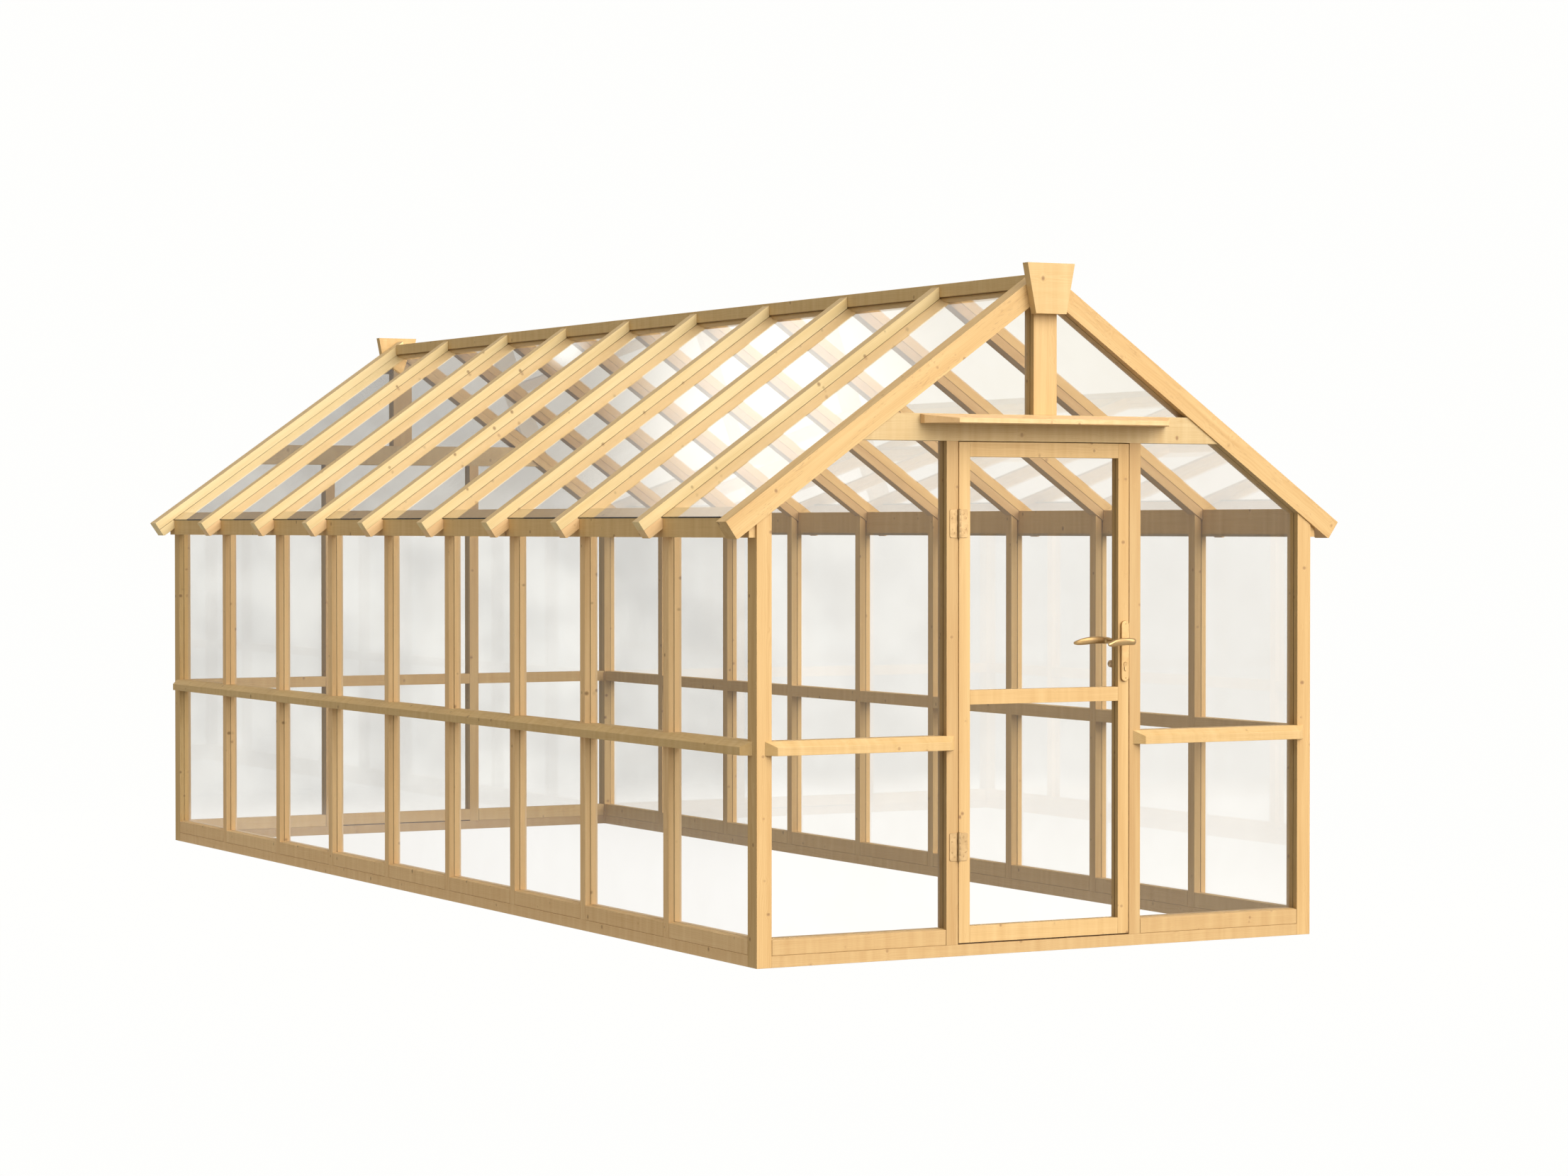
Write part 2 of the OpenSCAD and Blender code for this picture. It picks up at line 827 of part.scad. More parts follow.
// butt hinges screwed on the faces of post and stile
hinge_at = [hinge_low_z, hinge_top_z];
knuckle_l = hinge_h / 5;
leaf_w = 38;
screw_spots = [
    [leaf_w / 2, -0.34 * hinge_h], [leaf_w - 9, -0.19 * hinge_h],
    [leaf_w - 9, 0.19 * hinge_h], [leaf_w / 2, 0.34 * hinge_h]
];
module knuckle(i) {
    translate([0, 0, -hinge_h / 2 + i * knuckle_l + 0.15])
        cylinder(h = knuckle_l - 0.3, r = knuckle_r);
}
module leaf(s, own) {
    difference() {
        union() {
            for (i = own) {
                knuckle(i);
                translate([0, 0, -hinge_h / 2 + i * knuckle_l + 0.15])
                    block([min(s, s * 8), -hinge_v - leaf_t, 0],
                          [max(s, s * 8), -hinge_v, knuckle_l - 0.3]);
            }
            translate([0, -hinge_v, 0]) along_y(-leaf_t, 0)
                scale([s, 1]) leaf_outline();
        }
        translate([0, 0, -hinge_h]) cylinder(h = 2 * hinge_h, r = pin_r + run_gap);
        for (p = screw_spots)
            translate([s * p[0], -hinge_v, p[1]]) rotate([-90, 0, 0]) {
                translate([0, 0, -leaf_t - 1]) cylinder(h = 5, r = 2.2);
                translate([0, 0, -leaf_t - 0.01])
                    cylinder(h = 2.05, r1 = 4.15, r2 = 2.2);
            }
    }
}
module leaf_outline() {
    r = 7;
    h = hinge_h / 2;
    translate([6.8, -h]) square([leaf_w - r - 6.8, hinge_h]);
    translate([leaf_w - r - 1, -h + r]) square([r + 1, hinge_h - 2 * r]);
    translate([leaf_w - r, h - r]) circle(r = r);
    translate([leaf_w - r, -h + r]) circle(r = r);
}
module leaf_screws(s) {
    for (p = screw_spots)
        translate([s * p[0], -hinge_v, p[1]]) rotate([-90, 0, 0]) {
            translate([0, 0, -leaf_t + 0.2]) cylinder(h = 1.9, r1 = 3.9, r2 = 2);
            translate([0, 0, -leaf_t + 0.2]) cylinder(h = wood_screw_l, r = shank_r);
        }
}
module at_hinges() {
    for (z = hinge_at) translate([hinge_x, hinge_v, z]) children();
}
module screw_bores(s) {
    at_hinges() for (p = screw_spots)
        translate([s * p[0], -hinge_v - 1, p[1]]) rotate([-90, 0, 0])
            cylinder(h = wood_screw_l, r = bore_r);
}
module frame_screw_holes() screw_bores(-1);
module door_screw_holes() screw_bores(1);
module frame_hinge_leaves() {
    color(brassy) front() at_hinges() leaf(-1, [0, 2, 4]);
}
module door_hinge_leaves() {
    color(brassy) front() at_hinges() leaf(1, [1, 3]);
}
module hinge_pins() {
    color(brassy) front() at_hinges() {
        translate([0, 0, -hinge_h / 2 - 2]) cylinder(h = hinge_h + 4, r = pin_r);
        for (s = [-1, 1])
            translate([0, 0, s * (hinge_h / 2 + 1.6)])
                cylinder(h = 3, r = 4.5, center = true);
    }
}
module frame_hinge_screws() {
    color(brassy) front() at_hinges() leaf_screws(-1);
}
module door_hinge_screws() {
    color(brassy) front() at_hinges() leaf_screws(1);
}
module strike_plate() {
    color(steel) front() difference() {
        block([door_half, strike_v[0] + 0.2, case_lo - strike_over_z + 0.2],
              [door_half + strike_t, strike_v[1] - 0.2,
               case_hi + strike_over_z - 0.2]);
        block([door_half - 1, bolt_v[0] - 0.6, bolt_z - 12.6],
              [door_half + 3, bolt_v[1] + 0.6, bolt_z + 12.6]);
        block([door_half - 1, bolt_v[0] - 0.6, latch_z - 7.6],
              [door_half + 3, bolt_v[1] + 0.6, latch_z + 7.6]);
    }
}

// handle plates inside and outside, with through screws
module plate_outline() {
    r = plate_w / 2;
    h = plate_l / 2;
    translate([-r, -h + r]) square([plate_w, plate_l - plate_w]);
    translate([0, h - r]) circle(r = r);
    translate([0, -h + r]) circle(r = r);
}
module handle_plate(v0, v1) {
    translate([lock_x, 0, 0]) difference() {
        translate([0, 0, plate_c]) along_y(v0, v1) plate_outline();
        translate([0, v0 - 1, lever_z]) rotate([-90, 0, 0])
            cylinder(h = plate_t + 2, r = neck_r + run_gap);
        translate([0, 0, cyl_z]) along_y(v0 - 1, v1 + 1) euro_profile(0.2);
        for (z = [screw_lo, screw_hi]) {
            translate([0, v0 - 1, z]) rotate([-90, 0, 0])
                cylinder(h = plate_t + 2, r = 2.2);
        }
    }
}
module handle_plates() {
    color(brassy) front() {
        difference() {
            handle_plate(-plate_t, 0);
            for (z = [screw_lo, screw_hi])
                translate([lock_x, -plate_t - 1, z]) rotate([-90, 0, 0])
                    cylinder(h = head_seat + 1, r = head_r + 0.2);
        }
        difference() {
            handle_plate(door_t, door_t + plate_t);
            for (z = [screw_lo, screw_hi])
                translate([lock_x, door_t + plate_t - head_seat, z])
                    rotate([-90, 0, 0]) cylinder(h = head_seat + 1, r = head_r + 0.2);
        }
    }
}
module plate_screws() {
    color(brassy) front() for (z = [screw_lo, screw_hi])
        translate([lock_x, 0, z]) rotate([-90, 0, 0]) difference() {
            union() {
                translate([0, 0, -plate_t + head_in])
                    cylinder(h = door_t + 2 * plate_t - 2 * head_in, r = shank_r);
                translate([0, 0, -plate_t + head_in])
                    cylinder(h = head_t, r = head_r);
                translate([0, 0, door_t + plate_t - head_seat])
                    cylinder(h = head_t, r = head_r);
            }
            translate([-3, -0.5, -plate_t]) cube([6, 1, 1.4]);
        }
}

// lock in the stile: follower and cam turn in it, the two bolts slide in it
module lock_case() {
    color(steel) front() difference() {
        union() {
            block([case_x + 0.2, case_v[0] + 0.2, case_lo + 0.2],
                  [door_x - face_t, case_v[1] - 0.2, case_hi - 0.2]);
            block([door_x - face_t, case_v[0] - face_over_v + 0.2,
                   case_lo - face_over_z + 0.2],
                  [door_x, case_v[1] + face_over_v - 0.2,
                   case_hi + face_over_z - 0.2]);
        }
        translate([lock_x, case_v[0] - 1, lever_z]) rotate([-90, 0, 0])
            cylinder(h = 20, r = 10.05);
        translate([lock_x, 0, cyl_z]) along_y(case_v[0] - 1, case_v[1] + 1)
            euro_profile(0.2);
        block([case_x + 3, bolt_v[0] - 0.3, latch_z - 7.3],
              [door_x + 1, bolt_v[1] + 0.3, latch_z + 7.3]);
        block([case_x + 3, bolt_v[0] - 0.3, bolt_z - 12.3],
              [door_x + 1, bolt_v[1] + 0.3, bolt_z + 12.3]);
    }
}
module lock_cylinder() {
    color(brassy) front() translate([lock_x, 0, cyl_z]) difference() {
        along_y(-plate_t - 2, door_t + plate_t + 2) euro_profile(0);
        // slot for the cam, bore for the turn and seat for the key plug
        block([-9, bolt_v[0], -9], [9, bolt_v[1], 9]);
        translate([0, 20, 0]) rotate([-90, 0, 0]) cylinder(h = 60, r = 4 + run_gap);
        translate([0, -plate_t - 3, 0]) rotate([-90, 0, 0])
            cylinder(h = 13, r = 6.1);
    }
}
module key_plug() {
    color(brassy) front() translate([lock_x, 0, cyl_z]) difference() {
        translate([0, -plate_t - 2.6, 0]) rotate([-90, 0, 0])
            cylinder(h = 12, r = 6);
        block([-0.8, -plate_t - 3, -4], [0.8, -plate_t + 6, 4]);
    }
}

// levers, outside and inside, on one square spindle: the grip is what two
// outlines have in common, one seen from the front and one from above
module lever_side() {
    k = lever_l / outline_l;
    polygon([
        [12, -6], [12, 3], [10, 8], [5, 11], [-10, 13.2], [-28, 14.8],
        [-47 * k, 15], [-65 * k, 14.4], [-84 * k, 12.2], [-101 * k, 8.2],
        [-115 * k, 3.4], [-125 * k, -0.6], [-130 * k, -3.6], [-133 * k, -8],
        [-130 * k, -12.5], [-122 * k, -15.2], [-110 * k, -16.3],
        [-92 * k, -15.4], [-73 * k, -13], [-50 * k, -11.8], [-25, -11.8],
        [0, -12.6], [8, -11.6]
    ]);
}
module lever_plan() {
    k = lever_l / outline_l;
    polygon([
        [12, 54], [12, 62], [9, 69], [0, 74], [-30, 79], [-60 * k, 84.5],
        [-90 * k, 91], [-115 * k, 97.5], [-128 * k, 99.5], [-133 * k, 96],
        [-131 * k, 90], [-112 * k, 83.5], [-90 * k, 77.5], [-60 * k, 70.5],
        [-30, 65], [-14, 61], [-12, 54]
    ]);
}
module lever() {
    intersection() {
        along_y(50, 105) lever_side();
        translate([0, 0, -30]) linear_extrude(60) lever_plan();
    }
    translate([0, 1, 0]) rotate([-90, 0, 0]) cylinder(h = 58, r = neck_r);
}
module levers() {
    color(brassy) front() {
        translate([lock_x, 0, lever_z]) mirror([0, 1, 0]) lever();
        translate([lock_x, door_t, lever_z]) lever();
    }
}
module spindle() {
    color(steel) front() translate([lock_x, 0, lever_z]) {
        block([-4, -1, -4], [4, door_t + 1, 4]);
        translate([0, case_v[0] + 1, 0]) rotate([-90, 0, 0])
            cylinder(h = 12, r = 10);
    }
}
module latch_bolt() {
    color(steel) front()
        translate([0, 0, latch_z - 7]) linear_extrude(14)
            polygon([[lock_x + 1, bolt_v[0]], [door_x + 1, bolt_v[0]],
                     [door_x + door_gap - 1, bolt_v[0] + 3],
                     [door_x + door_gap - 1, bolt_v[1] - 3],
                     [door_x + 1, bolt_v[1]], [lock_x + 1, bolt_v[1]]]);
}
module dead_bolt() {
    color(steel) front()
        block([lock_x + 1, bolt_v[0], bolt_z - 12],
              [door_x - 0.2, bolt_v[1], bolt_z + 12]);
}
module thumb_turn() {
    v0 = door_t + plate_t + 2.5;
    v1 = v0 + turn_stem_l;
    color(brassy) front() translate([lock_x, 0, cyl_z]) {
        translate([0, bolt_v[0] + 0.3, 0]) rotate([-90, 0, 0])
            cylinder(h = bolt_v[1] - bolt_v[0] - 0.6, r = 8);
        translate([0, 20.5, 0]) rotate([-90, 0, 0])
            cylinder(h = v0 + 3 - 20.5, r = 4);
        translate([0, v0, 0]) rotate([-90, 0, 0])
            cylinder(h = turn_stem_l + 1, r = 6);
        translate([0, v1, 0]) rotate([-90, 0, 0])
            cylinder(h = turn_flare, r1 = 8, r2 = turn_r);
        translate([0, v1 + turn_flare, 0]) rotate([-90, 0, 0])
            cylinder(h = turn_knob_l, r = turn_r);
        translate([0, v1 + turn_flare + turn_knob_l, 0]) rotate([-90, 0, 0])
            cylinder(h = turn_end, r1 = turn_r, r2 = turn_r - 3);
    }
}

side_sills();
gable_sills();
corner_posts();
left_posts();
right_posts();
left_battens();
right_battens();
side_kick_boards();
front_kick_boards();
back_kick_boards();
side_transoms();
gable_transoms();
side_rails();
front_rails();
back_rail();
wall_plates();
left_rafters();
right_rafters();
left_cappings();
right_cappings();
gable_rafters();
ridge_board();
ridge_strips();
cross_beams();
king_posts();
king_facings();
keystone_boards();
door_posts();
door_post_facings();
back_posts();
back_post_facings();
hood_board();
door_stops();
roof_glass();
side_glass();
front_glass();
back_glass();
frame_hinge_leaves();
hinge_pins();
frame_hinge_screws();
strike_plate();
door_stiles();
door_rails();
door_glass();
door_hinge_leaves();
door_hinge_screws();
handle_plates();
plate_screws();
lock_case();
lock_cylinder();
key_plug();
levers();
spindle();
latch_bolt();
dead_bolt();
thumb_turn();
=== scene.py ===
import json
import math

import bmesh
import bpy
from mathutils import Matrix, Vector, noise


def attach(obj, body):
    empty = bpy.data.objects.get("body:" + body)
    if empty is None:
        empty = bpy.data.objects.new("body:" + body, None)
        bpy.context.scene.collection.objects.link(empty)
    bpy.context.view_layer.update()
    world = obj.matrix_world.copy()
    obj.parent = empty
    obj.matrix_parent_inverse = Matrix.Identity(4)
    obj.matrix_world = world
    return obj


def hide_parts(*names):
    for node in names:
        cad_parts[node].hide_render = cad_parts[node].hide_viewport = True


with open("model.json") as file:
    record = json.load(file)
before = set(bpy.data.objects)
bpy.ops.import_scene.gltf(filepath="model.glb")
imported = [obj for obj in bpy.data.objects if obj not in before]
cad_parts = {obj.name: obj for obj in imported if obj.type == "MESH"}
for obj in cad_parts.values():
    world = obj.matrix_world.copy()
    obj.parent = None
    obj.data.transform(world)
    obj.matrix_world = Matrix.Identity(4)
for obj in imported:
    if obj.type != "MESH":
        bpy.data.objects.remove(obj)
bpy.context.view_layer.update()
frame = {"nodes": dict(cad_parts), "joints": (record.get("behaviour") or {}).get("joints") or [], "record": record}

record = frame["record"]
scene = bpy.context.scene
MM = 0.001
body_of = {n: body for body, held in record["behaviour"]["bodies"].items() for n in held}
slot_of = {part["node"]: part["material_slot"] for part in record["subparts"]}
joint_at = {j["name"]: Vector(j["pos_m"]) for j in frame["joints"] if "pos_m" in j}

# The camera stands to the left of the door end, about as high as a person's eyes. Angles are in
# degrees, the lens and its sensor in mm
CAMERA_AT = Vector((-7.3463, -14.64, 1.5547))
CAMERA_HEADING = 28.341
CAMERA_DIP = 0.934
CAMERA_LENS = 85.9
SENSOR_W = 36

# The direction towards the lamp, and how wide it spreads in degrees
SUN_FROM = Vector((0.34, -0.8, 0.49))
SUN_STRENGTH = 4.0
SUN_SPREAD = 60
SUN_COLOUR = (1.0, 0.95, 0.9)

# The light that the ground and the low and high sky give the wood
GROUND_TO_WOOD = (0.43, 0.415, 0.37)
LOW_SKY_TO_WOOD = (0.48, 0.46, 0.4)
HIGH_SKY_TO_WOOD = (0.76, 0.74, 0.66)

# The floor as the eye sees it, as the panes mirror it, and as it shines through them. It fades
# out between these distances from the house's foot, in metres
FLOOR_SEEN = (1, 0.998, 0.985)
FLOOR_MIRRORED = (0.72, 0.715, 0.7)
FLOOR_THROUGH_PANES = (1.07, 1.055, 1.03)
FLOOR_FADES = (1.0, 3.4)
FLOOR_RADIUS = 9.5
FLOOR_SIDES = 128
FLOOR_DROP = 0.5 * MM
HOUSE_HALF = (1.2, 3.1, 0.0)
# The floor and the sky to the left, which the left wall's panes mirror, and where that floor begins
LEFT_MIRRORED = (0.25, 0.25, 0.245)
LEFT_OF_HOUSE = (-1.2, -1.3)

# The studio's backdrop as the eye sees it
STUDIO_WHITE = (0.995, 0.995, 0.982)
# Cloud as the panes show it, each from its darker to its lighter parts: low down behind the
# walls, in the haze above, and in a dark bank that the left roof mirrors
LOW_CLOUD = (0.92, 0.915, 0.9), (1.14, 1.135, 1.11)
HAZE = (0.84, 0.84, 0.83), (0.95, 0.95, 0.94)
BANK = (0.19, 0.19, 0.185), (0.3, 0.3, 0.29)
# Plainer sky: low down and in the haze to the right, further right, high up, and out from the
# door end to the right
LOW_RIGHT = (1.02, 1.0, 0.97)
HAZE_RIGHT = (1.08, 1.07, 1.01)
HAZE_FAR_RIGHT = (0.94, 0.915, 0.88)
HIGH_SKY = (0.85, 0.85, 0.82)
OUT_FROM_DOOR = (0.68, 0.68, 0.66)
# Heights, as sines, between which one layer of sky gives way to the next
LOW_TO_HAZE = (0.01, 0.035)
HAZE_TO_BANK = (0.09, 0.2)
BANK_TO_HIGH = (0.385, 0.43)
# Headings to the right, as sines, between which the plainer sky takes over
LOW_TO_RIGHT = (0.38, 0.6)
HAZE_TO_RIGHT = (0.38, 0.5)
HAZE_TO_FAR_RIGHT = (0.54, 0.6)
# Bright openings in the bank: heading and height in degrees, how far each reaches and how bright
# it is
OPENINGS = [(12.4, 25.6, 0.052, 0.75), (11.75, 22.4, 0.0085, 1.0)]
OPENING_COLOUR = (1.0, 1.0, 0.96)


def link(thing):
    scene.collection.objects.link(thing)
    return thing


# Wiring of node trees

def wired(tree, kind, inputs=(), **settings):
    """Adds a node, sets it up, and feeds its inputs with values or with other nodes' outputs."""
    node = tree.nodes.new(kind)
    for key, value in settings.items():
        setattr(node, key, value)
    for key, value in dict(inputs).items():
        spot = node.inputs[key] if isinstance(key, int) else live(node.inputs, key)
        if isinstance(value, bpy.types.NodeSocket):
            tree.links.new(value, spot)
        else:
            spot.default_value = value
    return node


def live(sockets, name):
    """The socket of that name that the node's present settings use."""
    named = [s for s in sockets if s.name == name]
    return next((s for s in named if s.enabled), named[0])


def calc(tree, operation, *values):
    return wired(tree, "ShaderNodeMath", enumerate(values), operation=operation).outputs[0]


def vector_calc(tree, operation, *values):
    node = wired(tree, "ShaderNodeVectorMath", enumerate(values), operation=operation)
    return live(node.outputs, "Value" if operation == "LENGTH" else "Vector")


def eased(tree, value, low, high, at_low=0.0, at_high=1.0):
    """A smooth step of value from low to high."""
    node = wired(
        tree, "ShaderNodeMapRange",
        {"Value": value, "From Min": low, "From Max": high, "To Min": at_low, "To Max": at_high},
        interpolation_type="SMOOTHSTEP",
    )
    return live(node.outputs, "Result")


def opaque(colour):
    """Three numbers as a colour for a socket; a node's output stays as it is."""
    return (*colour, 1) if isinstance(colour, tuple) else colour


def tinted(tree, share, first, second):
    """The first colour with the second laid over it by that share."""
    node = wired(
        tree, "ShaderNodeMix", {0: share, 6: opaque(first), 7: opaque(second)},
        data_type="RGBA", clamp_factor=True,
    )
    return node.outputs[2]


def clouded(tree, vector, scale=1.0, detail=2.0, roughness=0.5):
    """A node of soft noise from 0 to 1."""
    return wired(
        tree, "ShaderNodeTexNoise",
        {"Vector": vector, "Scale": scale, "Detail": detail, "Roughness": roughness},
    )


def new_group(name, inputs, outputs, kind="ShaderNodeTree"):
    """An empty node group with named sockets, and its two end nodes."""
    tree = bpy.data.node_groups.new(name, kind)
    for socket_name, socket_kind in inputs:
        tree.interface.new_socket(socket_name, in_out="INPUT", socket_type=socket_kind)
    for socket_name, socket_kind in outputs:
        tree.interface.new_socket(socket_name, in_out="OUTPUT", socket_type=socket_kind)
    start = tree.nodes.new("NodeGroupInput")
    end = tree.nodes.new("NodeGroupOutput")
    return tree, start.outputs, end.inputs


# Shared effects of the finishes

def softwood_grain():
    """Pine or spruce under clear stain: year rings, fibres, a broad soft figure and small knots.
    Grain is a point in its board's own frame, in metres from the pith, with X along the fibres.
    Figure is the same point at the pace of the broad figure, and Tone is the board's own shade."""
    tree, given, out = new_group(
        "Softwood grain",
        [("Grain", "NodeSocketVector"), ("Figure", "NodeSocketVector"), ("Tone", "NodeSocketFloat"),
         ("Knottiness", "NodeSocketFloat"), ("Flecks", "NodeSocketFloat"),
         ("Light Wood", "NodeSocketColor"), ("Dark Wood", "NodeSocketColor"),
         ("Knot Wood", "NodeSocketColor")],
        [("Colour", "NodeSocketColor"), ("Roughness", "NodeSocketFloat"),
         ("Height", "NodeSocketFloat")],
    )
    grain = given["Grain"]

    # knots: some of the cells hold the round end of a branch, each of its own size
    cell_rate = (9.0, 28.0, 28.0)
    largest_knot = 5 * MM
    in_cells = vector_calc(tree, "MULTIPLY", grain, cell_rate)
    cells = wired(
        tree, "ShaderNodeTexVoronoi", {"Vector": in_cells, "Scale": 1.0, "Randomness": 0.85},
        voronoi_dimensions="3D", feature="F1",
    )
    offset = vector_calc(tree, "SUBTRACT", in_cells, cells.outputs["Position"])
    offset = vector_calc(tree, "DIVIDE", offset, cell_rate)
    flat_offset = vector_calc(tree, "MULTIPLY", offset, (0.85, 1.0, 0.7))
    reach = vector_calc(tree, "LENGTH", flat_offset)
    lot = wired(tree, "ShaderNodeSeparateColor", {0: cells.outputs["Color"]}).outputs[0]
    threshold = calc(tree, "SUBTRACT", 1.0, given["Knottiness"])
    radius = eased(tree, lot, threshold, 1.0, 0.0, largest_knot)
    inside = calc(tree, "SUBTRACT", radius, reach)
    # small ones fade away, and a large one pushes the fibres aside
    there = eased(tree, radius, 1.5 * MM, 3 * MM)
    core = calc(tree, "MULTIPLY", eased(tree, inside, 0.0, 1.4 * MM), there)
    rim = calc(tree, "MULTIPLY", eased(tree, inside, -3.5 * MM, -0.3 * MM), there)
    sway = calc(tree, "MULTIPLY", eased(tree, inside, -16 * MM, 0.0), there)
    shove = vector_calc(tree, "MULTIPLY", offset, (0.0, 0.85, 0.85))
    shove = wired(
        tree, "ShaderNodeVectorMath", {0: shove, "Scale": sway}, operation="SCALE"
    ).outputs[0]
    bent = vector_calc(tree, "SUBTRACT", grain, shove)

    # year rings round the pith, wandering along the board
    ring_width = 5.2 * MM
    wander = clouded(tree, vector_calc(tree, "MULTIPLY", bent, (1.6, 9.0, 9.0)), detail=3.0)
    wander = vector_calc(tree, "SUBTRACT", wander.outputs["Color"], (0.5, 0.5, 0.5))
    wander = vector_calc(tree, "MULTIPLY", wander, (0.0, 0.05, 0.05))
    from_pith = vector_calc(tree, "MULTIPLY", bent, (0.0, 1.0, 1.0))
    from_pith = vector_calc(tree, "ADD", from_pith, wander)
    ring = calc(tree, "DIVIDE", vector_calc(tree, "LENGTH", from_pith), ring_width)
    ring = calc(tree, "FRACT", ring)
    late = calc(tree, "MULTIPLY", eased(tree, ring, 0.35, 0.9), eased(tree, ring, 1.0, 0.92))

    # fibres and streaks along the board, and its broad figure
    fibre = clouded(tree, vector_calc(tree, "MULTIPLY", bent, (14.0, 620.0, 620.0))).outputs["Fac"]
    streak = clouded(
        tree, vector_calc(tree, "MULTIPLY", bent, (2.6, 95.0, 95.0)), detail=3.0
    ).outputs["Fac"]
    figure = clouded(tree, given["Figure"], detail=2.5, roughness=0.55).outputs["Fac"]

    depth = calc(tree, "MULTIPLY", late, 0.24)
    for value, share in ((streak, 0.55), (figure, 1.45), (fibre, 0.3)):
        depth = calc(tree, "MULTIPLY_ADD", calc(tree, "SUBTRACT", value, 0.5), share, depth)
    depth = calc(tree, "MULTIPLY_ADD", given["Tone"], 0.16, depth)
    depth = calc(tree, "ADD", depth, 0.32)
    colour = tinted(tree, depth, given["Light Wood"], given["Dark Wood"])
    stained = calc(tree, "MULTIPLY", rim, 0.5)
    colour = tinted(tree, stained, colour, given["Knot Wood"])
    heart = calc(tree, "MULTIPLY_ADD", streak, 0.35, calc(tree, "MULTIPLY", core, 0.4))
    colour = tinted(tree, calc(tree, "MULTIPLY", heart, core), colour, given["Knot Wood"])

    # short torn fibres in patches, as the saw leaves them
    torn = clouded(tree, vector_calc(tree, "MULTIPLY", bent, (48.0, 300.0, 300.0))).outputs["Fac"]
    patch = clouded(tree, vector_calc(tree, "MULTIPLY", bent, (5.0, 22.0, 22.0))).outputs["Fac"]
    torn = calc(tree, "MULTIPLY", eased(tree, torn, 0.57, 0.68), eased(tree, patch, 0.42, 0.6))
    torn = calc(tree, "MULTIPLY", torn, given["Flecks"])
    colour = tinted(tree, torn, colour, given["Knot Wood"])
    tree.links.new(colour, out["Colour"])

    rough = calc(tree, "MULTIPLY_ADD", fibre, 0.16, 0.46)
    rough = calc(tree, "MULTIPLY_ADD", core, -0.1, rough)
    tree.links.new(rough, out["Roughness"])
    height = calc(tree, "MULTIPLY_ADD", late, 0.35, calc(tree, "MULTIPLY", fibre, 0.45))
    height = calc(tree, "MULTIPLY_ADD", rim, -0.5, height)
    tree.links.new(height, out["Height"])
    return tree


def handling_wear():
    """Smears, fine brushing and a light tarnish on metal."""
    tree, given, out = new_group(
        "Handling wear",
        [("Place", "NodeSocketVector"), ("Brushing", "NodeSocketVector"),
         ("Smoothest", "NodeSocketFloat"), ("Roughest", "NodeSocketFloat"),
         ("Clean Metal", "NodeSocketColor"), ("Tarnished Metal", "NodeSocketColor")],
        [("Colour", "NodeSocketColor"), ("Roughness", "NodeSocketFloat"),
         ("Height", "NodeSocketFloat")],
    )
    lines = vector_calc(tree, "MULTIPLY", given["Place"], given["Brushing"])
    brushed = clouded(tree, lines, detail=2.0).outputs["Fac"]
    smear = clouded(tree, given["Place"], scale=38.0, detail=4.0, roughness=0.6).outputs["Fac"]
    smear = eased(tree, smear, 0.38, 0.66)
    mixed = calc(tree, "MULTIPLY_ADD", brushed, 0.5, calc(tree, "MULTIPLY", smear, 0.5))
    colour = tinted(tree, mixed, given["Clean Metal"], given["Tarnished Metal"])
    tree.links.new(colour, out["Colour"])
    spread = calc(tree, "SUBTRACT", given["Roughest"], given["Smoothest"])
    tree.links.new(calc(tree, "MULTIPLY_ADD", mixed, spread, given["Smoothest"]), out["Roughness"])
    tree.links.new(brushed, out["Height"])
    return tree


def pane_bloom():
    """The uneven clearness of old float glass, as a soft mottling of its tint."""
    tree, given, out = new_group(
        "Pane bloom",
        [("Place", "NodeSocketVector"), ("Clear Tint", "NodeSocketColor"),
         ("Misty Tint", "NodeSocketColor")],
        [("Tint", "NodeSocketColor")],
    )
    broad = clouded(tree, given["Place"], scale=1.7, detail=3.0, roughness=0.55).outputs["Fac"]
    small = clouded(tree, given["Place"], scale=9.0, detail=3.0).outputs["Fac"]
    mist = calc(tree, "MULTIPLY_ADD", small, 0.35, calc(tree, "MULTIPLY", broad, 0.65))
    mist = eased(tree, mist, 0.36, 0.64)
    tree.links.new(tinted(tree, mist, given["Clear Tint"], given["Misty Tint"]), out["Tint"])
    return tree


# Finishes

KNOT_WOOD = (0.25, 0.125, 0.05)
# The colour of the painted shade on upward faces
TOP_SHADE_WOOD = (0.3, 0.15, 0.05)
# The colour of the painted shade in seams and nooks
SEAM_SHADE_WOOD = (0.13, 0.07, 0.03)
# The share of the grain's cells that may hold a knot
KNOTTINESS = 0.65
# How far from a seam or nook its painted shade reaches
SEAM_SHADE_REACH = 2.5 * MM
# How fast the brush lines of the metal follow one another along X, Y and Z
BRUSHING = (40.0, 40.0, 900.0)


def bare_material(name):
    material = bpy.data.materials.new(name)
    material.use_nodes = True
    tree = material.node_tree
    tree.nodes.clear()
    end = tree.nodes.new("ShaderNodeOutputMaterial")
    return material, tree, end


def attribute(tree, name, output="Vector"):
    return wired(tree, "ShaderNodeAttribute", attribute_name=name).outputs[output]


def group_node(tree, group, **inputs):
    node = tree.nodes.new("ShaderNodeGroup")
    node.node_tree = group
    for name, value in inputs.items():
        spot = node.inputs[name.replace("_", " ")]
        if isinstance(value, bpy.types.NodeSocket):
            tree.links.new(value, spot)
        else:
            spot.default_value = value
    return node.outputs


def bump(tree, height, strength, distance):
    node = wired(
        tree, "ShaderNodeBump", {"Height": height, "Strength": strength, "Distance": distance}
    )
    return node.outputs[0]


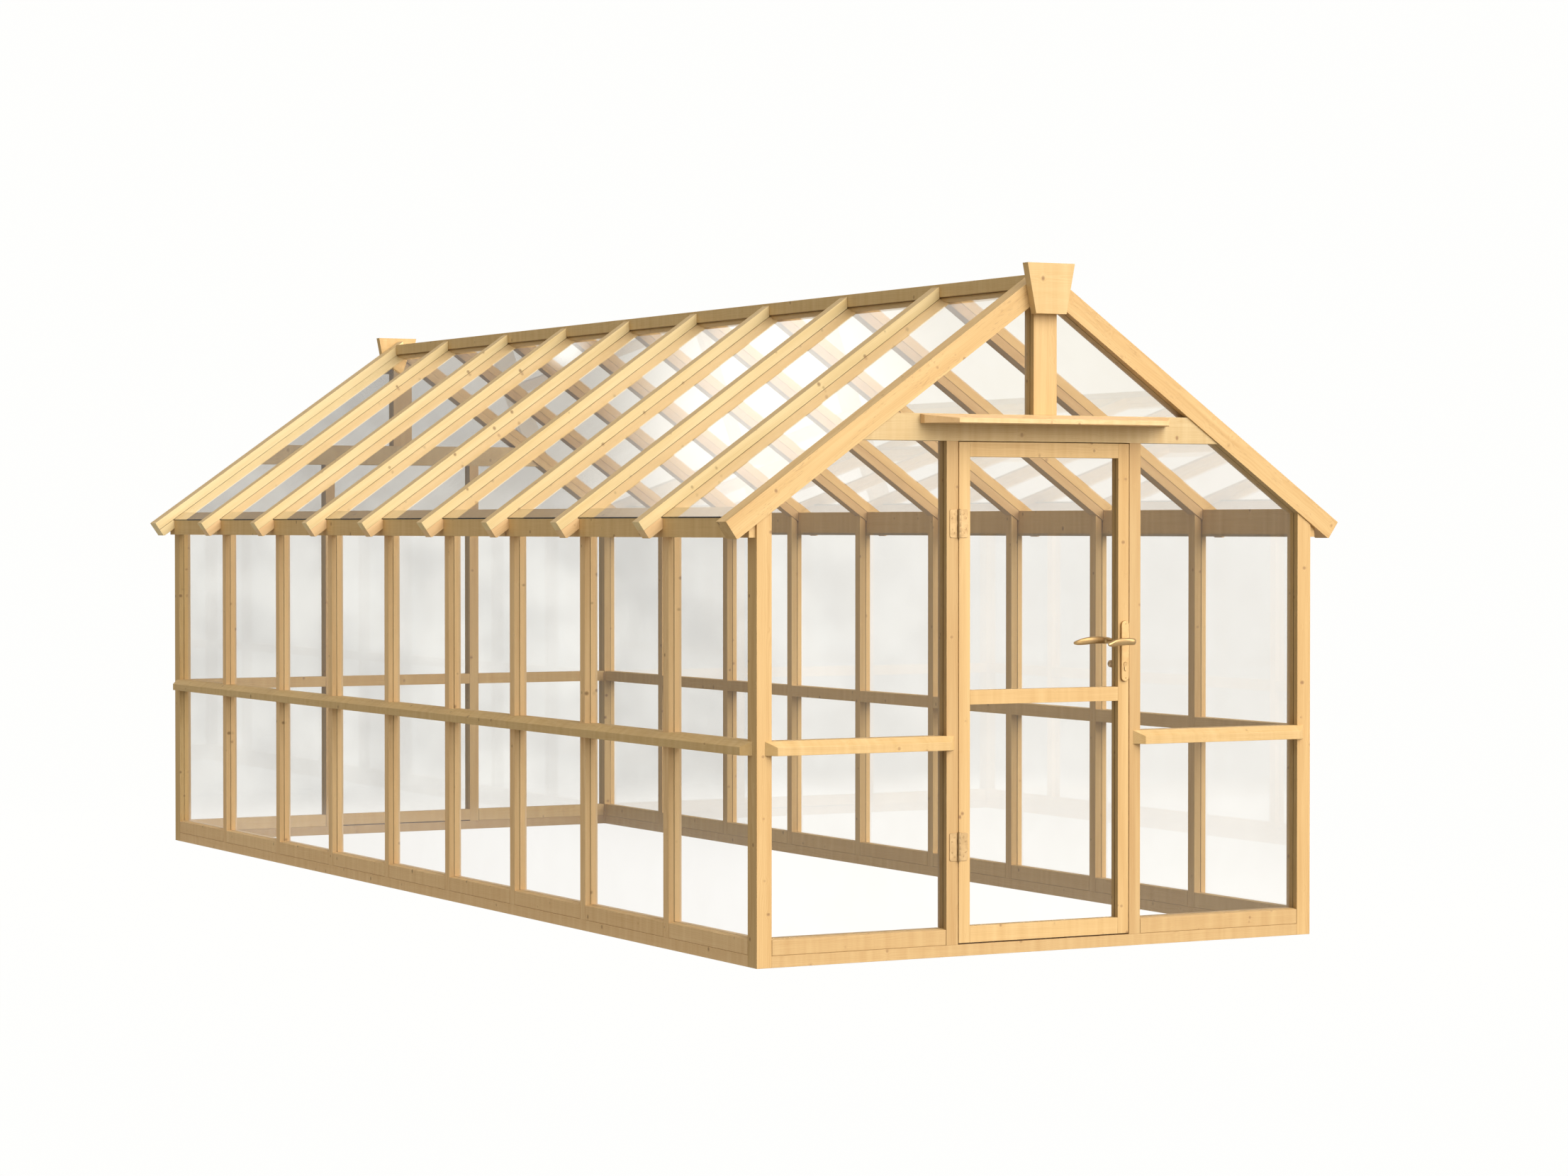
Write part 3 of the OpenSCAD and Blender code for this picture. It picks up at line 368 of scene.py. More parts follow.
def stained_softwood(name, light, dark, top_shade=0.0, seams=0.5, flecks=0.04):
    """Planed softwood under a clear, slightly golden stain. Two of its shares paint shade: one darkens it where
    ambient occlusion finds other wood close by, at seams where two boards meet and in nooks, the other darkens its
    upward faces. Its torn fibres show by the share flecks."""
    material, tree, end = bare_material(name)
    wood = group_node(
        tree, effects["grain"], Grain=attribute(tree, "grain"), Figure=attribute(tree, "figure"),
        Tone=attribute(tree, "tone", "Fac"), Knottiness=KNOTTINESS, Flecks=flecks,
        Light_Wood=opaque(light), Dark_Wood=opaque(dark), Knot_Wood=opaque(KNOT_WOOD),
    )
    # painted shade: the faces that look upward are darkened by their own share
    facing = wired(tree, "ShaderNodeTexCoord").outputs["Normal"]
    upward = wired(tree, "ShaderNodeSeparateXYZ", {0: facing}).outputs["Z"]
    upward = eased(tree, upward, 0.45, 0.75, 0.0, top_shade)
    colour = tinted(tree, upward, wood["Colour"], TOP_SHADE_WOOD)
    # painted shade: darker where ambient occlusion finds other wood close by, at seams and in nooks
    nook_shade = wired(tree, "ShaderNodeAmbientOcclusion", {"Distance": SEAM_SHADE_REACH}, samples=6)
    nook_shade = eased(tree, nook_shade.outputs["AO"], 0.05, 0.6, seams, 0.0)
    colour = tinted(tree, nook_shade, colour, SEAM_SHADE_WOOD)
    surface = wired(
        tree, "ShaderNodeBsdfPrincipled",
        {"Base Color": colour, "Roughness": wood["Roughness"],
         "Normal": bump(tree, wood["Height"], 0.35, 0.3 * MM), "Specular IOR Level": 0.35},
    )
    tree.links.new(surface.outputs[0], end.inputs["Surface"])
    return material


def worn_metal(name, clean, tarnished, smoothest, roughest):
    """Metal with level brush lines, smeared by hands."""
    material, tree, end = bare_material(name)
    place = wired(tree, "ShaderNodeTexCoord").outputs["Object"]
    metal = group_node(
        tree, effects["wear"], Place=place, Brushing=BRUSHING, Smoothest=smoothest,
        Roughest=roughest, Clean_Metal=opaque(clean), Tarnished_Metal=opaque(tarnished),
    )
    surface = wired(
        tree, "ShaderNodeBsdfPrincipled",
        {"Base Color": metal["Colour"], "Roughness": metal["Roughness"], "Metallic": 1.0,
         "Normal": bump(tree, metal["Height"], 0.12, 0.05 * MM)},
    )
    tree.links.new(surface.outputs[0], end.inputs["Surface"])
    return material


def float_glass(name, clear, misty, passing):
    """Clear panes that let the share passing of the lamps' light through at each face."""
    material, tree, end = bare_material(name)
    place = wired(tree, "ShaderNodeTexCoord").outputs["Object"]
    bloom = group_node(
        tree, effects["bloom"], Place=place, Clear_Tint=opaque(clear), Misty_Tint=opaque(misty)
    )
    pane = wired(
        tree, "ShaderNodeBsdfPrincipled",
        {"Base Color": bloom["Tint"], "Roughness": 0.0, "IOR": 1.5, "Transmission Weight": 1.0},
    )
    open_to_light = wired(tree, "ShaderNodeBsdfTransparent", {"Color": opaque(passing)})
    path = wired(tree, "ShaderNodeLightPath").outputs
    shader = pane
    for ray in ("Is Diffuse Ray", "Is Shadow Ray"):
        shader = wired(
            tree, "ShaderNodeMixShader",
            {0: path[ray], 1: shader.outputs[0], 2: open_to_light.outputs[0]},
        )
    tree.links.new(shader.outputs[0], end.inputs["Surface"])
    return material


# Tones of the stained wood, each from its lighter to its darker figure. The last five are copies of the pine,
# lighter as painted light or darker as painted shade, for pieces by where they stand in the light
PINE = (0.66, 0.45, 0.205), (0.52, 0.31, 0.115)
RAIL = (0.68, 0.48, 0.23), (0.54, 0.34, 0.13)
# painted light: a paler copy of the pine for the lit faces left of the ridge
LIT_PALE_PINE = (0.88, 0.71, 0.41), (0.74, 0.55, 0.26)
# painted light: a warmer, lighter copy of the pine for the pieces on the lit left side and the hood
LIT_WARM_PINE = (0.84, 0.585, 0.31), (0.69, 0.425, 0.19)
# painted shade: a darker copy of the pine for the low boards at the gable ends and the door posts
SHADE_DARK_PINE = (0.575, 0.385, 0.175), (0.455, 0.265, 0.1)
# painted shade: a greyer copy of the pine for the cross beams in the hood's shadow
HOOD_SHADOW_PINE = (0.63, 0.475, 0.25), (0.5, 0.33, 0.14)
# painted shade: a darker copy of the pine for the rafters right of the ridge, seen from inside
SHADED = (0.52, 0.34, 0.155), (0.41, 0.235, 0.09)

effects = {"grain": softwood_grain(), "wear": handling_wear(), "bloom": pane_bloom()}

# The finish of each material slot
finish = {
    "wall_timber": stained_softwood("stained_wall_timber", *PINE),
    "door_timber": stained_softwood("stained_door_timber", *PINE),
    "roof_timber": stained_softwood("stained_roof_timber", *PINE, flecks=0.32),
    "capping_timber": stained_softwood("stained_capping_timber", *RAIL),
    "rail_timber": stained_softwood("stained_rail_timber", *RAIL),
    "pane": float_glass(
        "wall_glass", (0.99, 0.987, 0.972), (0.972, 0.966, 0.948), (0.76, 0.77, 0.765)
    ),
    "roof_pane": float_glass(
        "roof_glass", (0.99, 0.963, 0.925), (0.975, 0.943, 0.895), (0.9, 0.9, 0.895)
    ),
    "hinge_brass": worn_metal(
        "satin_hinge_brass", (0.52, 0.365, 0.19), (0.42, 0.285, 0.14), 0.5, 0.62
    ),
    "handle_brass": worn_metal(
        "satin_handle_brass", (0.54, 0.365, 0.175), (0.44, 0.28, 0.12), 0.26, 0.42
    ),
    "lock_steel": worn_metal(
        "zinc_plated_steel", (0.62, 0.62, 0.63), (0.45, 0.45, 0.47), 0.3, 0.45
    ),
}

# Lighter and darker copies of the pine, painted light and painted shade. The paler lit one also has painted shade
# on its upward faces. The plates have glass close above them, which the painted shade in seams would darken, so
# they have none
lit_pale = stained_softwood("bleached_roof_timber", *LIT_PALE_PINE, top_shade=0.5)
under_glass = stained_softwood("stained_plate_timber", *PINE, seams=0.0)
lit_warm = stained_softwood("sunned_wall_timber", *LIT_WARM_PINE)
shade_dark = stained_softwood("damp_timber", *SHADE_DARK_PINE, seams=0.2)
shaded = stained_softwood("shaded_roof_timber", *SHADED, seams=1.0)
hood_shadowed = stained_softwood("hooded_wall_timber", *HOOD_SHADOW_PINE)
shaded_jamb = stained_softwood("stained_jamb_timber", *SHADE_DARK_PINE, seams=0.9)

# Nodes with another finish than their slot's. Most are lighter or darker copies of the pine, painted light or
# painted shade for where they stand
special = {
    "left_cappings": lit_pale,
    "left_rafters": lit_warm, "left_battens": lit_warm, "left_posts": lit_warm, "hood_board": lit_warm,
    "wall_plates": under_glass,
    "cross_beams": hood_shadowed,
    "gable_sills": shade_dark, "front_kick_boards": shade_dark,
    "door_posts": shaded_jamb, "door_post_facings": shaded_jamb,
    "right_rafters": shaded,
}

# Nodes with another finish to the left of the ridge, behind this place along the ridge: lighter copies of the
# pine, painted light for the lit side
WHOLE_LENGTH = -5.0
BACK_HALF = 0.0
left_of_ridge = {
    "gable_rafters": (lit_pale, BACK_HALF),
    "side_sills": (lit_warm, WHOLE_LENGTH),
    "side_kick_boards": (lit_warm, WHOLE_LENGTH),
}


def finish_for(node):
    return special.get(node, finish[slot_of[node]])


# Boards and fittings taken from the frame

# Corners closer than this are one corner
WELD = 0.01 * MM
# How far an edge turns: less in a flat face, up to this in a curved one, and at least this where
# it is rounded or drawn sharp
FLAT = math.radians(0.6)
CURVED = math.radians(24)
ROUNDED = math.radians(30)
SHARP = math.radians(40)
# A face takes a rounding only where it is this many times wider than the rounding
ROOM_TO_ROUND = 2.4


def merged_copy(node):
    """A node's solids as clean faces: welded corners and no seams across flat faces."""
    mesh = bmesh.new()
    mesh.from_mesh(frame["nodes"][node].data)
    bmesh.ops.remove_doubles(mesh, verts=mesh.verts, dist=WELD)
    bmesh.ops.dissolve_limit(mesh, angle_limit=FLAT, verts=mesh.verts, edges=mesh.edges)
    mesh.normal_update()
    return mesh


def room_beside(edge, face):
    """How wide a face is at right angles to one of its edges."""
    start, end = edge.verts[0].co, edge.verts[1].co
    along = (end - start).normalized()
    across = face.normal.cross(along)
    return max(abs((v.co - start).dot(across)) for v in face.verts)


def ease_edges(mesh, radius, segments, least_length):
    """Rounds the outer edges that are long enough and lie between faces that are wide enough."""
    for face in mesh.faces:
        face.smooth = any(FLAT < e.calc_face_angle(0.0) < CURVED for e in face.edges)
    picked = [
        e for e in mesh.edges
        if e.is_manifold
        and e.calc_face_angle_signed(0.0) > ROUNDED
        and e.calc_length() > least_length
        and all(room_beside(e, f) > ROOM_TO_ROUND * radius for f in e.link_faces)
    ]
    made = bmesh.ops.bevel(
        mesh, geom=picked, offset=radius, offset_type="OFFSET", segments=segments,
        profile=0.5, affect="EDGES", clamp_overlap=False,
    )
    for face in made["faces"]:
        face.smooth = True
    mesh.normal_update()
    for edge in mesh.edges:
        edge.smooth = edge.calc_face_angle(0.0) < SHARP


def separate_solids(mesh):
    """The corners of each separate solid, in the order in which they are stored."""
    mesh.verts.ensure_lookup_table()
    seen = [False] * len(mesh.verts)
    for first in mesh.verts:
        if seen[first.index]:
            continue
        seen[first.index] = True
        solid, todo = [], [first]
        while todo:
            corner = todo.pop()
            solid.append(corner)
            for edge in corner.link_edges:
                other = edge.other_vert(corner)
                if not seen[other.index]:
                    seen[other.index] = True
                    todo.append(other)
        yield solid


def board_axes(solid):
    """Unit vectors along a board, across it and through it, from its longest edge."""
    edges = [e for v in solid for e in v.link_edges]
    longest = max(edges, key=lambda e: round(e.calc_length(), 6))
    along = (longest.verts[1].co - longest.verts[0].co).normalized()
    side = Vector((0, 1, 0)) if abs(along.y) < 0.9 else Vector((1, 0, 0))
    through = along.cross(side).normalized()
    across = through.cross(along).normalized()
    return along, across, through


# How the broad figure of the wood lies: in long streaks, or in bands across the board
STREAKED = Vector((1.4, 34.0, 34.0))
BANDED = Vector((24.0, 1.6, 1.6))
# Where each board was cut, in metres: how long the logs are, how wide the boards lie about the
# pith, and how near to it and how much further from it they lie
LOG_LENGTH = 40
PITH_ACROSS = 0.03
PITH_NEAREST, PITH_FURTHER = 0.015, 0.05
# Seeds set aside for the solids of one node
SEEDS_PER_NODE = 97


def lay_grain(mesh_data, solids_of, number, figure_rate):
    """Writes each corner's place in its board's own frame, and the board's own tone."""
    layers = mesh_data.attributes
    for name, kind in (("grain", "FLOAT_VECTOR"), ("figure", "FLOAT_VECTOR"), ("tone", "FLOAT")):
        layers.new(name, kind, "POINT")
    grain, figure, tone = layers["grain"], layers["figure"], layers["tone"]
    for count, (axes, centre, corners) in enumerate(solids_of):
        noise.seed_set(number * SEEDS_PER_NODE + count + 1)
        pith = Vector((
            LOG_LENGTH * noise.random(),
            PITH_ACROSS * noise.random() - PITH_ACROSS / 2,
            PITH_NEAREST + PITH_FURTHER * noise.random(),
        ))
        shade = 2 * noise.random() - 1
        for index, place in corners:
            local = Vector([axis.dot(place - centre) for axis in axes])
            grain.data[index].vector = local + pith
            figure.data[index].vector = (local + Vector((pith.x, 0, 0))) * figure_rate
            tone.data[index].value = shade


def planed_mesh(name, mesh, number, figure_rate):
    """The finished boards as mesh data with their grain."""
    solids_of = []
    mesh.verts.index_update()
    for solid in separate_solids(mesh):
        middle = sum((v.co for v in solid), Vector()) / len(solid)
        solids_of.append((board_axes(solid), middle, [(v.index, v.co.copy()) for v in solid]))
    data = bpy.data.meshes.new(name)
    mesh.to_mesh(data)
    mesh.free()
    lay_grain(data, solids_of, number, figure_rate)
    return data


def hand_over(piece, node):
    """Puts a finished piece on the body of the node that it stands for."""
    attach(piece, body_of[node])
    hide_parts(node)


# Every arris of a board that is long enough is rounded by this much, in this many steps
ARRIS = 0.9 * MM
ARRIS_STEPS = 2
SHORTEST_ARRIS = 14 * MM
BOARDS = [
    "side_sills", "gable_sills", "corner_posts", "side_kick_boards", "front_kick_boards",
    "back_kick_boards", "side_transoms", "gable_transoms", "side_rails", "front_rails",
    "back_rail", "wall_plates", "gable_rafters", "ridge_board", "ridge_strips", "cross_beams",
    "king_posts", "king_facings", "keystone_boards", "door_posts", "door_post_facings",
    "back_posts", "back_post_facings", "hood_board", "door_stops", "door_stiles", "door_rails",
]
# Boards whose broad figure shows as bands
LYING = {
    "gable_sills", "side_sills", "front_kick_boards", "back_kick_boards", "side_kick_boards",
    "gable_transoms", "side_transoms", "front_rails", "back_rail", "side_rails", "cross_beams",
    "door_rails", "hood_board", "keystone_boards", "ridge_board", "wall_plates",
}
# Boards of one shape, repeated along the house
ROWS = [
    "left_posts", "right_posts", "left_battens", "right_battens", "left_rafters",
    "right_rafters", "left_cappings", "right_cappings",
]
FIRST_ROW_NUMBER = 60
FIRST_ROW_SEED = 11
# How far a board's grain and tone may differ from those of the first in its row
GRAIN_SHIFT = (30.0, 0.012, 0.02)
TONE_RANGE = 1.0


def dress_boards():
    for number, node in enumerate(BOARDS):
        mesh = merged_copy(node)
        ease_edges(mesh, ARRIS, ARRIS_STEPS, SHORTEST_ARRIS)
        name = node + "_planed"
        data = planed_mesh(name, mesh, number, BANDED if node in LYING else STREAKED)
        data.materials.append(finish_for(node))
        if node in left_of_ridge:
            left_finish, least_y = left_of_ridge[node]
            data.materials.append(left_finish)
            for face in data.polygons:
                face.material_index = int(face.center.x < 0 and face.center.y > least_y)
        hand_over(link(bpy.data.objects.new(name, data)), node)


def row_tree():
    """Sets out copies of one planed board, each with its own piece of grain and its own tone."""
    tree, given, out = new_group(
        "Row of boards",
        [("Geometry", "NodeSocketGeometry"), ("Board", "NodeSocketObject"),
         ("Seed", "NodeSocketInt"), ("Grain Shift", "NodeSocketVector"),
         ("Tone Range", "NodeSocketFloat"), ("Finish", "NodeSocketMaterial")],
        [("Geometry", "NodeSocketGeometry")],
        "GeometryNodeTree",
    )
    board = wired(tree, "GeometryNodeObjectInfo", {"Object": given["Board"]})
    row = wired(
        tree, "GeometryNodeInstanceOnPoints",
        {"Points": given["Geometry"], "Instance": board.outputs["Geometry"]},
    ).outputs[0]

    def lot(kind, low, high, draw):
        """A random value for each board. Each draw has its own seed."""
        seed = wired(tree, "ShaderNodeMath", {0: given["Seed"], 1: draw}, operation="ADD")
        node = wired(
            tree, "FunctionNodeRandomValue", {"Min": low, "Max": high, "Seed": seed.outputs[0]},
            data_type=kind,
        )
        return live(node.outputs, "Value")

    def stored(geometry, domain, kind, name, value):
        node = wired(
            tree, "GeometryNodeStoreNamedAttribute",
            {"Geometry": geometry, "Name": name, "Value": value}, domain=domain, data_type=kind,
        )
        return node.outputs[0]

    def read(kind, name):
        node = wired(tree, "GeometryNodeInputNamedAttribute", {"Name": name}, data_type=kind)
        return live(node.outputs, "Attribute")

    grain_draw, tone_draw = 0.0, 100.0
    figure_to_grain = (3.7, 0.0, 0.0)
    shift = lot("FLOAT_VECTOR", (0.0, 0.0, 0.0), given["Grain Shift"], grain_draw)
    darkest = wired(
        tree, "ShaderNodeMath", {0: given["Tone Range"], 1: -1.0}, operation="MULTIPLY"
    )
    shade = lot("FLOAT", darkest.outputs[0], given["Tone Range"], tone_draw)
    row = stored(row, "INSTANCE", "FLOAT_VECTOR", "shift", shift)
    row = stored(row, "INSTANCE", "FLOAT", "tone", shade)
    row = wired(tree, "GeometryNodeRealizeInstances", {"Geometry": row}).outputs[0]
    moved = vector_calc(tree, "ADD", read("FLOAT_VECTOR", "grain"), read("FLOAT_VECTOR", "shift"))
    row = stored(row, "POINT", "FLOAT_VECTOR", "grain", moved)
    along = vector_calc(tree, "MULTIPLY", read("FLOAT_VECTOR", "shift"), figure_to_grain)
    moved = vector_calc(tree, "ADD", read("FLOAT_VECTOR", "figure"), along)
    row = stored(row, "POINT", "FLOAT_VECTOR", "figure", moved)
    row = wired(
        tree, "GeometryNodeSetMaterial", {"Geometry": row, "Material": given["Finish"]}
    ).outputs[0]
    tree.links.new(row, out["Geometry"])
    return tree


def grown(name, tree, spots, facing=(), **inputs):
    """Runs a Geometry Nodes tree on loose points and returns the result as one plain object."""
    data = bpy.data.meshes.new(name)
    data.from_pydata(spots, [], [])
    if facing:
        data.attributes.new("facing", "FLOAT_VECTOR", "POINT")
        for index, way in enumerate(facing):
            data.attributes["facing"].data[index].vector = way
    host = link(bpy.data.objects.new(name, data))
    modifier = host.modifiers.new(tree.name, "NODES")
    modifier.node_group = tree
    identifier = {
        item.name: item.identifier for item in tree.interface.items_tree
        if item.item_type == "SOCKET" and item.in_out == "INPUT"
    }
    for key, value in inputs.items():
        modifier[identifier[key.replace("_", " ")]] = value
    graph = bpy.context.evaluated_depsgraph_get()
    plain = bpy.data.meshes.new_from_object(
        host.evaluated_get(graph), preserve_all_data_layers=True, depsgraph=graph
    )
    host.modifiers.clear()
    host.data = plain
    return host


def dress_rows():
    tree = row_tree()
    for number, node in enumerate(ROWS):
        mesh = merged_copy(node)
        ease_edges(mesh, ARRIS, ARRIS_STEPS, SHORTEST_ARRIS)
        solids = list(separate_solids(mesh))
        middles = [(min(v.co.y for v in s) + max(v.co.y for v in s)) / 2 for s in solids]
        first = middles.index(min(middles))
        spare = [v for i, s in enumerate(solids) if i != first for v in s]
        bmesh.ops.delete(mesh, geom=spare, context="VERTS")
        bmesh.ops.translate(mesh, verts=mesh.verts, vec=(0, -middles[first], 0))
        data = planed_mesh("board", mesh, FIRST_ROW_NUMBER + number, STREAKED)
        board = link(bpy.data.objects.new("board", data))
        row = grown(
            node + "_planed", tree, [(0, y, 0) for y in sorted(middles)], Board=board,
            Seed=FIRST_ROW_SEED + number, Grain_Shift=GRAIN_SHIFT, Tone_Range=TONE_RANGE,
            Finish=finish_for(node),
        )
        bpy.data.objects.remove(board)
        hand_over(row, node)


PANES = ["side_glass", "front_glass", "back_glass", "door_glass", "roof_glass"]


def glaze():
    """The panes stay as they are in the frame."""
    for pane in PANES:
        data = frame["nodes"][pane].data
        data.materials.clear()
        data.materials.append(finish_for(pane))


# Ironmongery: bevelled copies of the frame's own pieces, each with its rounding in mm

FITTINGS = {
    "frame_hinge_leaves": 0.5, "door_hinge_leaves": 0.5, "hinge_pins": 0.8, "strike_plate": 0.3,
    "handle_plates": 1.6, "lock_case": 0.4, "lock_cylinder": 0.4, "key_plug": 0.2,
    "spindle": 0.3, "latch_bolt": 0.6, "dead_bolt": 0.6, "thumb_turn": 1.2,
}
FITTING_STEPS = 3
SHORTEST_FITTING_EDGE = 0.4 * MM


def hand_over_metal(mesh, node):
    """Turns finished mesh work into the piece that stands for a metal node."""
    data = bpy.data.meshes.new(node + "_finished")
    mesh.to_mesh(data)
    mesh.free()
    data.materials.append(finish_for(node))
    hand_over(link(bpy.data.objects.new(data.name, data)), node)


def dress_fittings():
    for node, radius in FITTINGS.items():
        mesh = merged_copy(node)
        ease_edges(mesh, radius * MM, FITTING_STEPS, SHORTEST_FITTING_EDGE)
        hand_over_metal(mesh, node)


# A lever from its neck to its tip, in mm from the pivot: towards the hinges, out from the door,
# the way it heads there in degrees, half its thickness, half its height, and its middle's height
LEVER = [
    (0, 1, 0, 9, 9, 0), (0, 20, 0, 9, 9, 0), (0, 42, 0, 9, 9.2, 0),
    (0, 52, 6, 10.2, 10.6, 0), (0.5, 58, 22, 11.3, 11.8, 0), (2.5, 63, 42, 11.2, 12.4, 0.2),
    (7, 67, 60, 10, 12.8, 0.6), (16, 69.6, 74, 8.2, 13.1, 1.1), (30, 72.2, 79, 7.4, 13.4, 1.5),
    (60, 77.6, 79, 7.2, 13.5, 1.2), (90, 84.2, 78, 6.9, 13.2, -2),
    (112, 89.8, 76, 6.4, 10.4, -5.8), (124, 93.2, 75, 5.4, 7.4, -7.6),
    (130.4, 95.1, 75, 3.5, 4.6, -8.1), (133, 95.9, 75, 1, 1.3, -8.2),
]
LEVER_SIDES = 28
LEVER_STEPS = 4
# Below 1, a lever's section is fuller than an ellipse
LEVER_FULLNESS = 0.88
DOOR_THICKNESS = 45 * MM


def through_stations(stations, steps):
    """Stations with further ones between them on smooth curves through the given ones."""
    last = len(stations) - 1
    for i in range(last):
        four = [stations[max(0, min(last, i + k))] for k in (-1, 0, 1, 2)]
        for step in range(steps):
            t = step / steps
            yield [
                0.5 * (2 * b + (c - a) * t + (2 * a - 5 * b + 4 * c - d) * t ** 2
                       + (3 * b - a - 3 * c + d) * t ** 3)
                for a, b, c, d in zip(*four)
            ]
    yield list(stations[last])


def add_lever(mesh, pivot, outward):
    """One lever grown from its neck through its bend to its tip."""
    rings = []
    for along, out, heading, thick, high, middle in through_stations(LEVER, LEVER_STEPS):
        turn = math.radians(heading)
        ring = []
        for side in range(LEVER_SIDES):
            angle = 2 * math.pi * side / LEVER_SIDES
            across, up = (
                math.copysign(abs(wave) ** LEVER_FULLNESS, wave)
                for wave in (math.cos(angle), math.sin(angle))
            )
            x = -along + thick * across * math.cos(turn)
            w = out + thick * across * math.sin(turn)
            ring.append(mesh.verts.new(pivot + MM * Vector((x, outward * w, middle + high * up))))
        rings.append(ring)
    faces = [mesh.faces.new(rings[0]), mesh.faces.new(rings[-1])]
    for near, far in zip(rings, rings[1:]):
        for side in range(LEVER_SIDES):
            after = (side + 1) % LEVER_SIDES
            faces.append(mesh.faces.new((near[side], near[after], far[after], far[side])))
    for face in faces[1:]:
        face.smooth = True
    bmesh.ops.recalc_face_normals(mesh, faces=faces)


def dress_levers():
    mesh = bmesh.new()
    pivot = joint_at["lever_turn"]
    add_lever(mesh, pivot, -1)
    add_lever(mesh, pivot + Vector((0, DOOR_THICKNESS, 0)), 1)
    hand_over_metal(mesh, "levers")


# Screws

FIRST_SCREW_SEED = 5
SLOT_WIDTH = 1.0 * MM
SLOT_DEPTH = 1.1 * MM
SCREW_SIDES = 20
# A screw's head and shank radii and its length in mm
HINGE_SCREW = (3.9, 2.0, 26.0)
PLATE_SCREW = (4.0, 2.0, 30.0)
# Where the hinges' middles are in metres, and the screws from each in mm, sideways and upwards
HINGE_HEIGHTS = (0.397, 1.567)
HINGE_SCREWS = [(19.0, -34.68), (19.0, 34.68), (29.0, -19.38), (29.0, 19.38)]
PLATE_SCREW_HEIGHTS = (0.996, 1.197)
# How far the screw heads stand out from the door's faces
HINGE_FACE = 2.3 * MM
PLATE_FACE = 8.6 * MM


def slotted_screw(head_r, shank_r, length):
    """A countersunk screw along Z with the middle of its slightly domed head at the origin."""
    # radius and height in mm, from the head to the tip
    profile = [
        (0.0, 0.0), (0.55 * head_r, -0.04), (0.88 * head_r, -0.15), (head_r, -0.35),
        (head_r, -0.6), (shank_r, -2.1), (shank_r, -0.8 * length), (0.35, -length), (0.0, -length),
    ]
    mesh = bmesh.new()
    corners = [mesh.verts.new((r * MM, 0, z * MM)) for r, z in profile]
    edges = [mesh.edges.new(pair) for pair in zip(corners, corners[1:])]
    bmesh.ops.spin(
        mesh, geom=corners + edges, cent=(0, 0, 0), axis=(0, 0, 1), angle=2 * math.pi,
        steps=SCREW_SIDES, use_merge=True,
    )
    bmesh.ops.remove_doubles(mesh, verts=mesh.verts, dist=WELD)
    bmesh.ops.recalc_face_normals(mesh, faces=mesh.faces)
    solid = link(bpy.data.objects.new("screw", bpy.data.meshes.new("screw")))
    mesh.to_mesh(solid.data)
    mesh.free()
    cutter = bmesh.new()
    bmesh.ops.create_cube(cutter, size=1.0)
    bmesh.ops.scale(cutter, verts=cutter.verts, vec=(4 * head_r * MM, SLOT_WIDTH, 2 * SLOT_DEPTH))
    slot = link(bpy.data.objects.new("slot", bpy.data.meshes.new("slot")))
    cutter.to_mesh(slot.data)
    cutter.free()
    cut = solid.modifiers.new("slot", "BOOLEAN")
    cut.object = slot
    cut.operation = "DIFFERENCE"
    cut.solver = "EXACT"
    graph = bpy.context.evaluated_depsgraph_get()
    plain = bpy.data.meshes.new_from_object(solid.evaluated_get(graph), depsgraph=graph)
    solid.modifiers.clear()
    solid.data = plain
    bpy.data.objects.remove(slot)
    return solid


def screw_tree():
    """Drives a screw in at each point, along the way the point faces, its slot at its own turn."""
    tree, given, out = new_group(
        "Driven screws",
        [("Geometry", "NodeSocketGeometry"), ("Screw", "NodeSocketObject"),
         ("Seed", "NodeSocketInt"), ("Finish", "NodeSocketMaterial")],
        [("Geometry", "NodeSocketGeometry")],
        "GeometryNodeTree",
    )
    facing = wired(
        tree, "GeometryNodeInputNamedAttribute", {"Name": "facing"}, data_type="FLOAT_VECTOR"
    )
    facing = live(facing.outputs, "Attribute")
    lean = wired(tree, "FunctionNodeAlignRotationToVector", {"Vector": facing}, axis="Z").outputs[0]
    turn = wired(
        tree, "FunctionNodeRandomValue", {"Min": 0.0, "Max": math.pi, "Seed": given["Seed"]},
        data_type="FLOAT",
    )
    turn = wired(tree, "ShaderNodeCombineXYZ", {"Z": live(turn.outputs, "Value")}).outputs[0]
    turn = wired(tree, "FunctionNodeEulerToRotation", {0: turn}).outputs[0]
    lean = wired(
        tree, "FunctionNodeRotateRotation", {"Rotation": lean, "Rotate By": turn},
        rotation_space="LOCAL",
    ).outputs[0]
    screw = wired(tree, "GeometryNodeObjectInfo", {"Object": given["Screw"]})
    driven = wired(
        tree, "GeometryNodeInstanceOnPoints",
        {"Points": given["Geometry"], "Instance": screw.outputs["Geometry"], "Rotation": lean},
    ).outputs[0]
    driven = wired(tree, "GeometryNodeRealizeInstances", {"Geometry": driven}).outputs[0]
    driven = wired(
        tree, "GeometryNodeSetMaterial", {"Geometry": driven, "Material": given["Finish"]}
    ).outputs[0]
    tree.links.new(driven, out["Geometry"])
    return tree


